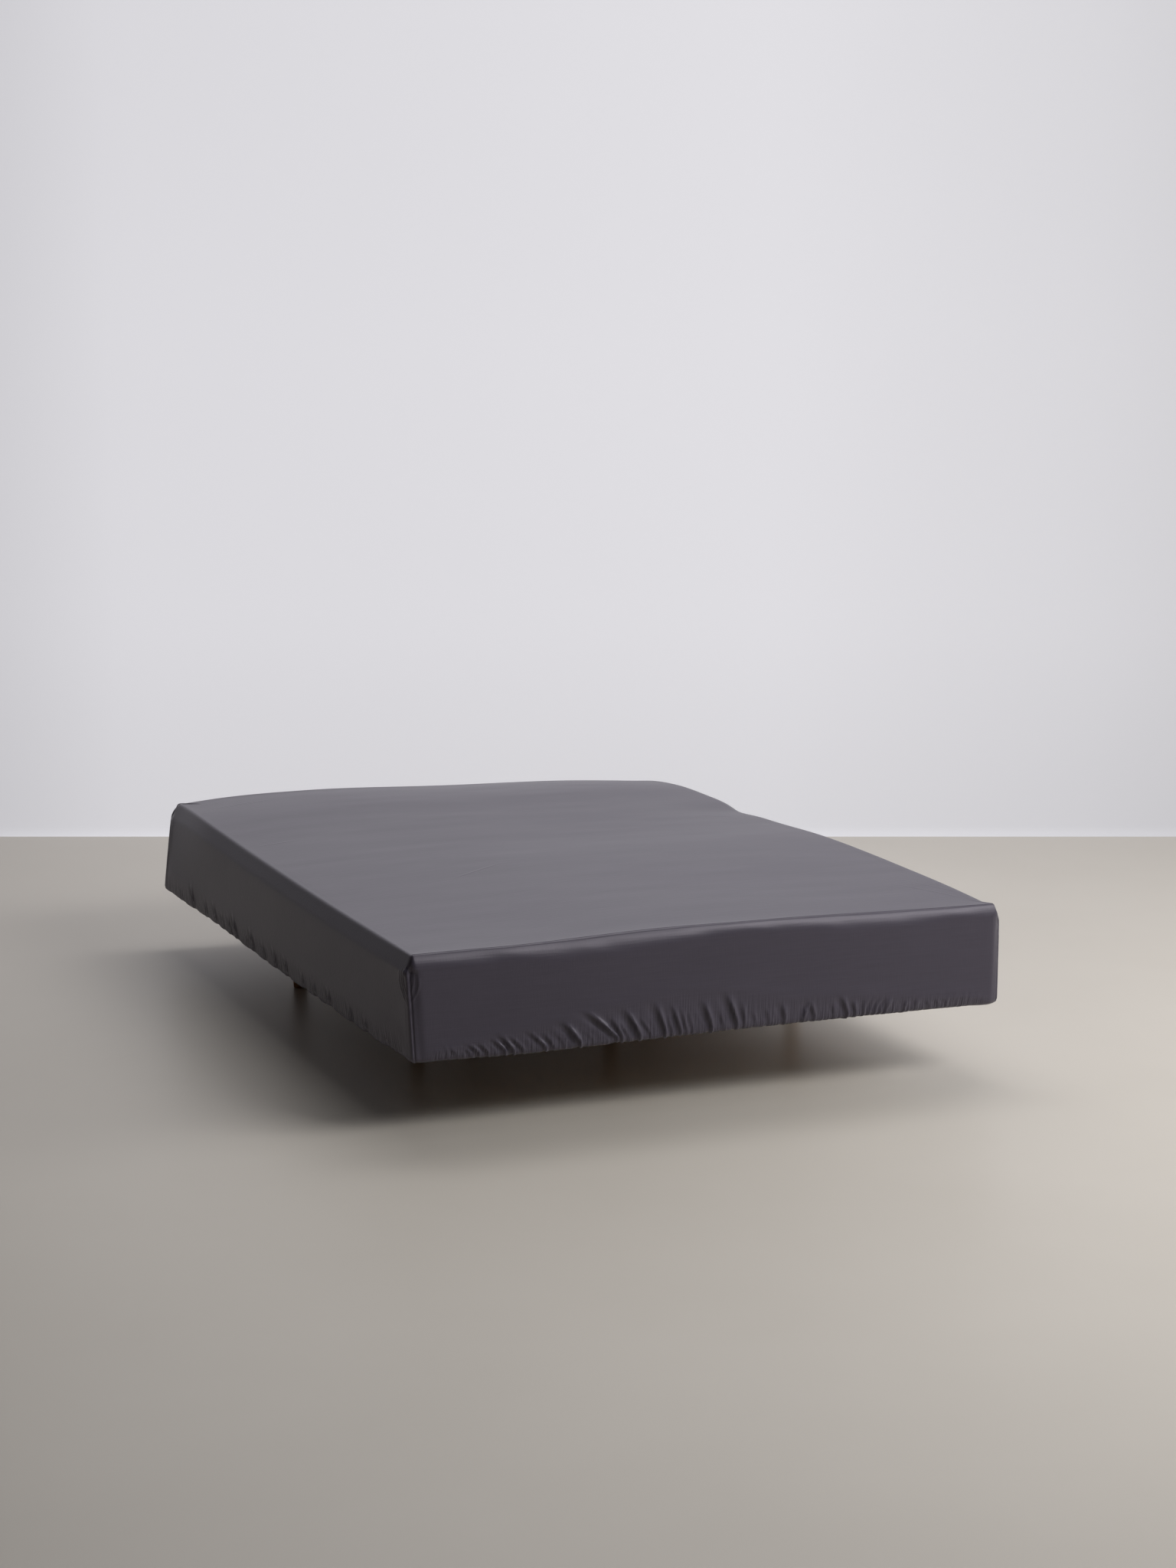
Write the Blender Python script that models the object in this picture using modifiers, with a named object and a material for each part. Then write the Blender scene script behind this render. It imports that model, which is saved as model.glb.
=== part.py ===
"""A fitted sheet pulled over a mattress, on a low board with six short wooden legs.

Metres, +Z up. The floor is z = 0 and the origin lies on it under the middle of the bed. The foot of the
bed is at -Y and the head at +Y. Side numbers run round the bed: 0 foot, 1 right, 2 head, 3 left.
"""

import math

import bmesh
import bpy
import numpy as np
from mathutils import Matrix, Vector

# Driving dimensions of the dressed mattress
WIDTH = 1.400
LENGTH = 2.000
DEPTH = 0.228
FLOOR_GAP = 0.165
CLOTH = 0.002
EDGE_GAP = 0.002
TOP_GAP = 0.0005
REST_GAP = 0.0003

# Rounded edges
CORNER_RADIUS = 0.028
FOOT_TOP_RADIUS = 0.027
SIDE_TOP_RADIUS = 0.042
LOWER_RADIUS = 0.014
TOP_INSET = 0.075
CORNER_TIGHTENS = 0.4
LOWER_CORNER_TIGHTENS = 0.006

# Hem, turned under the mattress
HEM_REACH = 0.085
HEM_CORNER_RADIUS = 0.070
GATHER_BAND = 0.080
GATHER_HALF_WIDTH = 0.017
GATHER_BAND_PARTS = (0.0, 0.4, 1.0)
HEM_FOLD_PART = 0.6
HEM_EDGE_RISE = 0.0015

# The plain gathers of the walls that show less: their pitch, and each size with its swing either way
PLAIN_PITCH = 0.078
PLAIN_PLACE_SWING = 0.30
PLAIN_HEIGHT = (0.045, 0.020)
PLAIN_LEAN_SWING = 0.022
PLAIN_PROUD = (0.004, 0.0015)
PLAIN_RATES = (2.4, 5.1)

# Mattress and base. The mattress isn't laid quite straight on its base, which stands a little turned.
MATTRESS_LIFT = 0.008
BOARD_SIZE = (1.100, 1.640, 0.024)
BOARD_EDGE = 0.003
BASE_TURN = 0.050
BASE_SHIFT = (0.006, 0.052)
LEG_COLUMNS = (-0.490, 0.000, 0.490)
LEG_ROWS = (-0.400, 0.400)
LEG_FOOT_RADIUS = 0.017
LEG_TOP_RADIUS = 0.025
LEG_FOOT_EDGE = 0.002
LEG_SIDES = 24

# Mesh steps: spans of the top, steps in a corner, and how often each wall's spans are split at the hem
TOP_SPANS = (16, 24)
CORNER_STEPS = 3
HEM_SPLITS = (5, 3, 3, 4)
HEM_CORNER_SPLIT = 2
UPPER_WALL_PART = 0.72
EDGE_TURNS = (0.0, 0.33, 0.67, 1.0)

# How far each top edge lies above (or below) a level one: (distance from the side's start, rise).
# The foot and head are measured from the left, the left and right sides from the foot.
FOOT_RISE = ((0.00, 0.000), (0.33, 0.002), (0.55, 0.009), (0.85, 0.009), (1.15, 0.002), (1.40, 0.000))
HEAD_RISE = ((0.00, 0.000), (0.15, 0.013), (0.38, 0.018), (0.77, 0.005), (1.15, -0.006), (1.40, -0.024))
LEFT_RISE = ((0.00, 0.000), (0.60, -0.003), (1.25, 0.002), (1.70, 0.007), (2.00, 0.000))
RIGHT_RISE = (
    (0.00, 0.000),
    (0.18, 0.008),
    (0.40, 0.013),
    (0.85, 0.016),
    (1.15, 0.006),
    (1.50, 0.010),
    (1.70, 0.010),
    (1.84, 0.000),
    (2.00, -0.024),
)

# How far the hem hangs below a level one, measured in the same way
FOOT_SAG = ((0.00, 0.000), (0.25, 0.007), (0.45, 0.005), (0.80, 0.001), (1.40, 0.001))
LEFT_SAG = ((0.00, 0.001), (0.50, 0.004), (1.00, 0.007), (1.50, 0.007), (1.80, 0.008), (2.00, 0.002))

# The dent in the right top edge, towards the head
DENT_FROM_FOOT = 1.310
DENT_LENGTH = 0.085
DENT_REACH = 0.300
DENT_DEPTH = 0.006
DENT_INSET = 0.010

# The right wall bows out a little, and the left wall's head end leans out at the bottom
RIGHT_BOW = 0.007
LEFT_BOW = 0.006
HEAD_LEFT_LEAN = 0.013
HEAD_LEFT_REACH = 0.450

# The foot wall's gathers: (from the left at the hem, height, lean of the upper end, how far it stands out)
FOOT_GATHERS = (
    (0.128, 0.026, -0.024, 0.003),
    (0.203, 0.036, -0.045, 0.004),
    (0.260, 0.036, -0.040, 0.004),
    (0.366, 0.050, -0.036, 0.005),
    (0.465, 0.072, -0.080, 0.007),
    (0.515, 0.064, -0.043, 0.005),
    (0.577, 0.076, -0.024, 0.005),
    (0.615, 0.066, -0.022, 0.004),
    (0.692, 0.078, -0.022, 0.005),
    (0.756, 0.074, -0.021, 0.005),
    (0.879, 0.032, -0.005, 0.004),
    (0.940, 0.046, 0.010, 0.004),
    (1.049, 0.044, -0.010, 0.005),
    (1.142, 0.038, 0.020, 0.004),
    (1.225, 0.032, 0.008, 0.004),
    (1.305, 0.026, 0.005, 0.003),
)

SHEET_LOW = FLOOR_GAP
SHEET_TOP = FLOOR_GAP + DEPTH
MATTRESS_LOW = FLOOR_GAP + MATTRESS_LIFT
MATTRESS_INSET = CLOTH + EDGE_GAP
MATTRESS_DROP = CLOTH + TOP_GAP
MATTRESS_EDGE_DROP = CLOTH + EDGE_GAP
SIDE_LENGTHS = (WIDTH, LENGTH, WIDTH, LENGTH)


def clear_scene():
    for old in list(bpy.data.objects):
        bpy.data.objects.remove(old, do_unlink=True)


def new_collection(name):
    collection = bpy.data.collections.new(name)
    bpy.context.scene.collection.children.link(collection)
    return collection


def new_material(name, colour, roughness, sheen=0.0):
    material = bpy.data.materials.new(name)
    material.use_nodes = True
    shader = material.node_tree.nodes["Principled BSDF"]
    shader.inputs["Base Color"].default_value = (*colour, 1.0)
    shader.inputs["Roughness"].default_value = roughness
    shader.inputs["Metallic"].default_value = 0.0
    shader.inputs["Sheen Weight"].default_value = sheen
    return material


def add_object(name, mesh, collection, material):
    thing = bpy.data.objects.new(name, mesh)
    mesh.materials.append(material)
    collection.objects.link(thing)
    return thing


def mesh_from(bm, name):
    mesh = bpy.data.meshes.new(name)
    bm.to_mesh(mesh)
    bm.free()
    return mesh


def smoothstep(value):
    clipped = min(max(value, 0.0), 1.0)
    return clipped * clipped * (3.0 - 2.0 * clipped)


def along(table, distance):
    """A smooth curve through a table's (distance, value) rows."""
    places = [row[0] for row in table]
    values = [row[1] for row in table]
    slopes = np.gradient(values, places)
    upper = min(max(int(np.searchsorted(places, distance)), 1), len(places) - 1)
    span = places[upper] - places[upper - 1]
    part = min(max((distance - places[upper - 1]) / span, 0.0), 1.0)
    start, end = values[upper - 1], values[upper]
    leave, arrive = slopes[upper - 1] * span, slopes[upper] * span
    cubic = part**3
    square = part**2
    return (
        start * (2 * cubic - 3 * square + 1)
        + leave * (cubic - 2 * square + part)
        + end * (3 * square - 2 * cubic)
        + arrive * (cubic - square)
    )


def dent(x, y):
    """How strongly the dent in the right top edge acts at a point, from 0 to 1."""
    lengthwise = math.exp(-(((y + LENGTH / 2 - DENT_FROM_FOOT) / DENT_LENGTH) ** 2))
    return lengthwise * smoothstep(1.0 - (WIDTH / 2 - x) / DENT_REACH)


def top_height(x, y):
    """The height of the sheet's upper surface: its four edges' curves, blended across the bed."""
    u = min(max(x + WIDTH / 2, 0.0), WIDTH)
    v = min(max(y + LENGTH / 2, 0.0), LENGTH)
    across, up = u / WIDTH, v / LENGTH
    edges = (
        (1 - up) * along(FOOT_RISE, u)
        + up * along(HEAD_RISE, u)
        + (1 - across) * along(LEFT_RISE, v)
        + across * along(RIGHT_RISE, v)
    )
    corners = across * up * HEAD_RISE[-1][1]
    return SHEET_TOP + edges - corners - DENT_DEPTH * dent(x, y)


def stations(splits, corner_steps):
    """Places round the bed as (side, part of its straight run, part of the turn that follows it)."""
    found = []
    for side in range(4):
        spans = TOP_SPANS[side % 2] * splits[side]
        found += [(side, step / spans, 0.0) for step in range(spans + 1)]
        found += [(side, 1.0, step / corner_steps) for step in range(1, corner_steps)]
    return found


def outline(station, inset, radius):
    """The point and the outward direction at a station of a rounded rectangle, set in from the bed's."""
    side, straight, turn = station
    reach = np.array([WIDTH / 2 - inset - radius, LENGTH / 2 - inset - radius])
    signs = np.array([(1, -1), (1, 1), (-1, 1), (-1, -1)])
    centre = reach * (signs[side - 1] * (1 - straight) + signs[side] * straight)
    angle = math.pi / 2 * (side + turn - 1)
    outward = np.array([math.cos(angle), math.sin(angle)])
    return centre + radius * outward, outward


def side_offset(point, outward, z):
    """How far a wall stands out of the plain rectangle at the height z."""
    height = min(max((z - SHEET_LOW) / DEPTH, 0.0), 1.0)
    v = point[1] + LENGTH / 2
    middle = math.sin(math.pi * min(max(v / LENGTH, 0.0), 1.0))
    right = max(outward[0], 0.0) ** 2
    left = max(-outward[0], 0.0) ** 2
    head_end = smoothstep(1.0 - (LENGTH - v) / HEAD_LEFT_REACH)
    lean = HEAD_LEFT_LEAN * (1.0 - 2.0 * height) * head_end
    bow = RIGHT_BOW * right * middle * height + LEFT_BOW * left * middle * (1.0 - height)
    return bow + left * lean - right * DENT_INSET * dent(WIDTH / 2, point[1]) * height


def top_radius(outward):
    foot = max(-outward[1], 0.0) ** 2
    return SIDE_TOP_RADIUS + (FOOT_TOP_RADIUS - SIDE_TOP_RADIUS) * foot


def hem_sag(point, outward):
    foot = max(-outward[1], 0.0) ** 2 * along(FOOT_SAG, point[0] + WIDTH / 2)
    left = max(-outward[0], 0.0) ** 2 * along(LEFT_SAG, point[1] + LENGTH / 2)
    return foot + left


def plain_gathers(side):
    """Uneven gathers for a wall that the photo doesn't show closely, in the columns of FOOT_GATHERS."""
    found = []
    count = round(SIDE_LENGTHS[side] / PLAIN_PITCH) - 1
    for step in range(1, count + 1):
        first = math.sin(PLAIN_RATES[0] * step + side)
        second = math.sin(PLAIN_RATES[1] * step + 2 * side)
        place = PLAIN_PITCH * (step + PLAIN_PLACE_SWING * first)
        height = PLAIN_HEIGHT[0] + PLAIN_HEIGHT[1] * second
        proud = PLAIN_PROUD[0] + PLAIN_PROUD[1] * second
        found.append((place, height, PLAIN_LEAN_SWING * first, proud))
    return found


GATHERS = (FOOT_GATHERS, plain_gathers(1), plain_gathers(2), plain_gathers(3))


def gather(station, rise):
    """How far the wall's gathers stand out at a station, at a height above the hem's lower edge."""
    side, straight, turn = station
    if turn > 0.0:
        return 0.0
    place = straight * SIDE_LENGTHS[side]
    proud = 0.0
    for centre, height, lean, amount in GATHERS[side]:
        part = max(rise, 0.0) / height
        if part >= 1.0:
            continue
        apart = abs(place - centre - lean * part) / GATHER_HALF_WIDTH
        if apart < 1.0:
            proud = max(proud, amount * (1.0 - part) * math.cos(math.pi / 2 * apart) ** 2)
    return proud


def wall_ring(station, inset, part, low, drop):
    """A point on a wall: part runs from 0, at the height low, to 1, where the top edge's round starts."""
    point, outward = outline(station, inset, CORNER_RADIUS)
    crest = top_height(*point) - drop - top_radius(outward)
    z = low + (crest - low) * part
    return (*(point + outward * side_offset(point, outward, z)), z)


def edge_ring(station, inset, turn, drop):
    """A point on the rounded top edge: turn runs from 0, on the wall, to 1, on the top."""
    radius = top_radius(outline(station, inset, CORNER_RADIUS)[1])
    bend = math.pi / 2 * turn
    set_in = inset + radius * (1.0 - math.cos(bend))
    point, outward = outline(station, set_in, CORNER_RADIUS * (1.0 - CORNER_TIGHTENS * turn))
    rounded = radius * (1.0 - math.sin(bend))
    shift = side_offset(point, outward, SHEET_TOP - rounded)
    place = point + outward * shift
    return (*place, top_height(*place) - drop - rounded)


def hem_ring(station, reach, radius, rise):
    """A point of the hem's underside, a reach in from the lower edge."""
    point, outward = outline(station, reach, radius)
    shift = side_offset(point, outward, SHEET_LOW)
    folds = gather(station, 0.0) * HEM_FOLD_PART
    height = SHEET_LOW + rise - hem_sag(point, outward) - folds
    return (*(point + outward * shift), height)


def gathered_ring(station, rise):
    """A point of the gathered band of the wall, a rise above the rounded lower edge."""
    point, outward = outline(station, 0.0, CORNER_RADIUS)
    low = SHEET_LOW + LOWER_RADIUS - hem_sag(point, outward)
    part = rise / (SHEET_TOP - top_radius(outward) - low)
    x, y, z = wall_ring(station, 0.0, part, low, 0.0)
    proud = gather(station, rise) * outward
    return x + proud[0], y + proud[1], z


def add_ring(bm, points):
    return [bm.verts.new(point) for point in points]


def bridge(bm, lower, upper):
    """Quads between two closed rings of the same count, the lower one first."""
    count = len(lower)
    for step in range(count):
        after = (step + 1) % count
        bm.faces.new((lower[step], lower[after], upper[after], upper[step]))


def bridge_split(bm, fine, coarse, fine_steps):
    """Faces between a coarse ring and a finer one below it: fine_steps says how many fine steps each takes."""
    count = len(coarse)
    at = 0
    for step in range(count):
        below = [fine[(at + k) % len(fine)] for k in range(fine_steps[step] + 1)]
        above = [coarse[(step + 1) % count], coarse[step]]
        bm.faces.new(below + above)
        at += fine_steps[step]


def add_top(bm, ring, inset, drop):
    """The top panel: a grid whose border joins the ring round it."""
    columns, rows = TOP_SPANS
    xs = np.linspace(-WIDTH / 2 + inset, WIDTH / 2 - inset, columns + 1)
    ys = np.linspace(-LENGTH / 2 + inset, LENGTH / 2 - inset, rows + 1)
    grid = [[bm.verts.new((x, y, top_height(x, y) - drop)) for x in xs] for y in ys]
    for row in range(rows):
        for column in range(columns):
            bm.faces.new(
                (grid[row][column], grid[row][column + 1], grid[row + 1][column + 1], grid[row + 1][column])
            )
    border = [
        [grid[0][column] for column in range(columns + 1)],
        [grid[row][columns] for row in range(rows + 1)],
        [grid[rows][column] for column in range(columns, -1, -1)],
        [grid[row][0] for row in range(rows, -1, -1)],
    ]
    partner = []
    for side in range(4):
        partner += border[side] + [border[side][-1]] * (CORNER_STEPS - 1)
    for step, low in enumerate(ring):
        after = (step + 1) % len(ring)
        corners = [low, ring[after], partner[after]]
        if partner[step] is not partner[after]:
            corners.append(partner[step])
        bm.faces.new(corners)


def build_sheet(collection, material):
    """The sheet is its outer surface, from the hem's free edge to the top, thickened inwards."""
    bm = bmesh.new()
    coarse = stations((1, 1, 1, 1), CORNER_STEPS)
    fine = stations(HEM_SPLITS, CORNER_STEPS * HEM_CORNER_SPLIT)
    steps_below = []
    for side in range(4):
        steps_below += [HEM_SPLITS[side]] * TOP_SPANS[side % 2] + [HEM_CORNER_SPLIT] * CORNER_STEPS
    turned_radius = CORNER_RADIUS - LOWER_CORNER_TIGHTENS
    rings = [
        [hem_ring(s, HEM_REACH, HEM_CORNER_RADIUS, HEM_EDGE_RISE) for s in fine],
        [hem_ring(s, LOWER_RADIUS, turned_radius, 0.0) for s in fine],
    ]
    rings += [[gathered_ring(s, GATHER_BAND * part) for s in fine] for part in GATHER_BAND_PARTS]
    rings = [add_ring(bm, points) for points in rings]
    for lower, upper in zip(rings, rings[1:]):
        bridge(bm, lower, upper)
    wall = add_ring(bm, [wall_ring(s, 0.0, UPPER_WALL_PART, SHEET_LOW + LOWER_RADIUS, 0.0) for s in coarse])
    bridge_split(bm, rings[-1], wall, steps_below)
    below = wall
    for turn in EDGE_TURNS:
        ring = add_ring(bm, [edge_ring(s, 0.0, turn, 0.0) for s in coarse])
        bridge(bm, below, ring)
        below = ring
    add_top(bm, below, TOP_INSET, 0.0)
    bmesh.ops.triangulate(bm, faces=bm.faces, quad_method="FIXED")
    sheet = add_object("fitted_sheet", mesh_from(bm, "fitted_sheet"), collection, material)
    sheet.data.shade_smooth()
    thickness = sheet.modifiers.new("cloth", "SOLIDIFY")
    thickness.thickness = CLOTH
    thickness.offset = -1.0
    return sheet


def build_mattress(collection, material):
    """The mattress follows the sheet's inner side, a little smaller, and is flat underneath."""
    bm = bmesh.new()
    around = stations((1, 1, 1, 1), CORNER_STEPS)
    inset, drop = MATTRESS_INSET, MATTRESS_DROP
    base = []
    for station in around:
        point, outward = outline(station, inset + LOWER_RADIUS, CORNER_RADIUS - LOWER_CORNER_TIGHTENS)
        base.append((*(point + outward * side_offset(point, outward, MATTRESS_LOW)), MATTRESS_LOW))
    below = add_ring(bm, base)
    bm.faces.new(list(reversed(below)))
    low = MATTRESS_LOW + LOWER_RADIUS
    rings = [[wall_ring(s, inset, part, low, drop) for s in around] for part in (0.0, UPPER_WALL_PART)]
    rings += [[edge_ring(s, inset, turn, MATTRESS_EDGE_DROP) for s in around] for turn in EDGE_TURNS]
    for points in rings:
        ring = add_ring(bm, points)
        bridge(bm, below, ring)
        below = ring
    add_top(bm, below, TOP_INSET, MATTRESS_DROP)
    # The same split of each quad as in the sheet keeps the two surfaces parallel.
    bmesh.ops.triangulate(bm, faces=bm.faces, quad_method="FIXED")
    mattress = add_object("mattress", mesh_from(bm, "mattress"), collection, material)
    mattress.data.shade_smooth()
    return mattress


def build_board(collection, material):
    top = MATTRESS_LOW - REST_GAP
    bm = bmesh.new()
    bmesh.ops.create_cube(bm, size=1.0)
    bmesh.ops.scale(bm, vec=BOARD_SIZE, verts=bm.verts)
    board = add_object("base_board", mesh_from(bm, "base_board"), collection, material)
    board.location = (*BASE_SHIFT, top - BOARD_SIZE[2] / 2)
    board.rotation_euler.z = BASE_TURN
    edge = board.modifiers.new("eased edge", "BEVEL")
    edge.width = BOARD_EDGE
    edge.segments = 1
    return board


def leg_mesh(height):
    """A turned leg, wider at the top. Its profile runs down the outer side."""
    profile = [
        (0.0, height),
        (LEG_TOP_RADIUS, height),
        (LEG_FOOT_RADIUS, LEG_FOOT_EDGE),
        (LEG_FOOT_RADIUS - LEG_FOOT_EDGE, 0.0),
        (0.0, 0.0),
    ]
    bm = bmesh.new()
    points = [bm.verts.new((radius, 0.0, z)) for radius, z in profile]
    for first, second in zip(points, points[1:]):
        bm.edges.new((first, second))
    return mesh_from(bm, "leg")


def build_legs(collection, material):
    mesh = leg_mesh(MATTRESS_LOW - REST_GAP - BOARD_SIZE[2] - REST_GAP)
    mesh.materials.append(material)
    turn = Matrix.Rotation(BASE_TURN, 2)
    places = [turn @ Vector((x, y)) + Vector(BASE_SHIFT) for y in LEG_ROWS for x in LEG_COLUMNS]
    for number, (x, y) in enumerate(places, start=1):
        leg = bpy.data.objects.new(f"leg_{number}", mesh)
        collection.objects.link(leg)
        leg.location = (x, y, 0.0)
        turned = leg.modifiers.new("turned", "SCREW")
        turned.steps = LEG_SIDES
        turned.render_steps = LEG_SIDES
        turned.use_merge_vertices = True
        turned.merge_threshold = 0.00001


def main():
    clear_scene()
    bed = new_collection("dressed mattress on a legged base")
    cloth = new_material("dark grey sateen", (0.110, 0.105, 0.118), 0.55, sheen=0.2)
    ticking = new_material("off-white ticking", (0.700, 0.680, 0.640), 0.85)
    wood = new_material("oiled wood", (0.420, 0.190, 0.070), 0.50)
    build_sheet(bed, cloth)
    build_mattress(bed, ticking)
    build_board(bed, wood)
    build_legs(bed, wood)


main()
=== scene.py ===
"""The finished look of a dark grey sateen fitted sheet on its mattress, board and turned legs.

Metres, +Z up, floor at z = 0. The foot of the bed is at -Y and the head at +Y. The sheet is made of rings
that run round the bed, from the hem's free edge under the mattress up the walls to the top, and of a grid
for the top panel. Each ring starts at the foot's left end and runs along the foot, the right side, the head
and the left side.
"""

import math

import bmesh
import bpy
import numpy as np
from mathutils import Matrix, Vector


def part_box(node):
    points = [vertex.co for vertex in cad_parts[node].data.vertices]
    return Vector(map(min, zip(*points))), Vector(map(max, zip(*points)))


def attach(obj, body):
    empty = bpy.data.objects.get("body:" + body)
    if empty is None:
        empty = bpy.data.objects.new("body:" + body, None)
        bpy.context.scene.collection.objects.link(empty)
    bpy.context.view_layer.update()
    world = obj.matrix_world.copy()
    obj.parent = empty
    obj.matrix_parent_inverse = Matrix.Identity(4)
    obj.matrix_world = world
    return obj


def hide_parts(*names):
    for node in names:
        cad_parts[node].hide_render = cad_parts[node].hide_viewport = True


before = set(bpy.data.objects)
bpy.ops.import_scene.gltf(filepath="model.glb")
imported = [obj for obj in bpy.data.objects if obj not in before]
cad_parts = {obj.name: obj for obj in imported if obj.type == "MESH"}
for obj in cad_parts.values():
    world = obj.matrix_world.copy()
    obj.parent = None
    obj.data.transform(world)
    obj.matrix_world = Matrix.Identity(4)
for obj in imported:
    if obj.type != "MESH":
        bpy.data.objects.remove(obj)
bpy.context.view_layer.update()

# The sides, and the corner that ends each of them
FOOT, RIGHT, HEAD, LEFT = range(4)

# The dressed mattress, as in the solids
WIDTH = 1.400
LENGTH = 2.000
DEPTH = 0.228
FLOOR_GAP = 0.165
SIDE_LENGTHS = (WIDTH, LENGTH, WIDTH, LENGTH)
SHEET_LOW = FLOOR_GAP
SHEET_TOP = FLOOR_GAP + DEPTH
CLOTH = 0.0008
CORNER_RADIUS = 0.028
SIDE_TOP_RADIUS = 0.042
LOWER_RADIUS = 0.014
TOP_INSET = 0.075
CORNER_TIGHTENS = 0.7
LOWER_CORNER_RADIUS = 0.022
HEM_REACH = 0.085
HEM_CORNER_RADIUS = 0.070
HEM_EDGE_RISE = 0.0015

# The mattress inside it
MATTRESS_INSET = 0.007
MATTRESS_DROP = 0.0032
MATTRESS_LOW = FLOOR_GAP + 0.008
PAD_EDGE_STEPS = 5

# Mesh steps: spans of the top, steps in a corner, how often each wall's spans are split at the hem, and the
# rows of points that are added between the foot's rings
TOP_SPANS = (72, 104)
CORNER_STEPS = 24
HEM_SPLITS = (6, 2, 2, 3)
FOOT_ROWS = 1
UNDER_STEPS = 3
LOWER_TURN_STEPS = 3
BAND_STEPS = 11
BAND_HEIGHT = 0.088
WALL_STEPS = 7
EDGE_STEPS = 12
EDGE_CROWDING = 1.6
PROFILE_STEPS = 200
RIM_REACHES = (0.0005, 0.0018, 0.0048, 0.0105, 0.0185)

# The near corner, where the left wall meets the foot, is finer: spans to its left, their split, added rows
NEAR_SPANS = 4
NEAR_SPLIT = 6
NEAR_ROWS = 3

# How far each top edge lies above a level one: (distance from the side's start, rise). The foot and head
# are measured from the left, the left and right sides from the foot.
FOOT_RISE = ((0.00, 0.000), (0.33, 0.002), (0.55, 0.009), (0.85, 0.009), (1.15, 0.002), (1.40, 0.000))
HEAD_RISE = ((0.00, 0.000), (0.15, 0.013), (0.38, 0.018), (0.77, 0.005), (1.15, -0.006), (1.40, -0.024))
LEFT_RISE = ((0.00, 0.000), (0.60, -0.003), (1.25, 0.002), (1.70, 0.007), (2.00, 0.000))
RIGHT_RISE = (
    (0.00, 0.000),
    (0.18, 0.008),
    (0.40, 0.013),
    (0.85, 0.016),
    (1.15, 0.006),
    (1.50, 0.010),
    (1.70, 0.010),
    (1.84, 0.000),
    (2.00, -0.024),
)

# How far the hem hangs below a level one, measured in the same way
FOOT_SAG = ((0.00, 0.000), (0.25, 0.007), (0.45, 0.005), (0.80, 0.001), (1.40, 0.001))
LEFT_SAG = ((0.00, 0.001), (0.50, 0.004), (1.00, 0.007), (1.50, 0.007), (1.80, 0.008), (2.00, 0.002))

# The dent in the right top edge, towards the head
DENT_FROM_FOOT = 1.310
DENT_LENGTH = 0.085
DENT_REACH = 0.300
DENT_DEPTH = 0.006
DENT_INSET = 0.010

# The right wall bows out a little. At the bottom the left wall's head end leans out and its foot end in.
RIGHT_BOW = 0.007
LEFT_BOW = 0.006
HEAD_LEFT_LEAN = 0.013
HEAD_LEFT_REACH = 0.450
NEAR_LEFT_TUCK = 0.010
NEAR_LEFT_REACH = 0.220

# The foot's top edge: how deep its sloping band is, (from the left, drop), how far the band tips back, over
# which part of the turn, before the tight turn at its top, and its faint ripple
FOOT_BAND = (
    (0.00, 0.030),
    (0.14, 0.034),
    (0.24, 0.031),
    (0.37, 0.042),
    (0.47, 0.041),
    (0.60, 0.037),
    (0.74, 0.024),
    (0.88, 0.029),
    (1.10, 0.036),
    (1.32, 0.026),
    (1.40, 0.026),
)
BAND_TILT = math.radians(36)
BAND_TURNS = 0.86
BAND_RIPPLE = 0.0009
RIPPLE_PITCH = (0.055, 0.30)
RIPPLE_SLANT = 0.05
RIPPLE_SEED = 6

# The left top edge: its wall leans in by a slope over the lower part of the turn, then turns tightly
LEFT_SLOPE = math.radians(68)
LEFT_LEANS = 0.20
LEFT_TURNS = 0.76

# The pressed line along the top of the foot's band: the panel's edge stands up by a step, then settles
STEP_PROUD = 0.0011
STEP_SETTLES = 0.030

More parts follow.
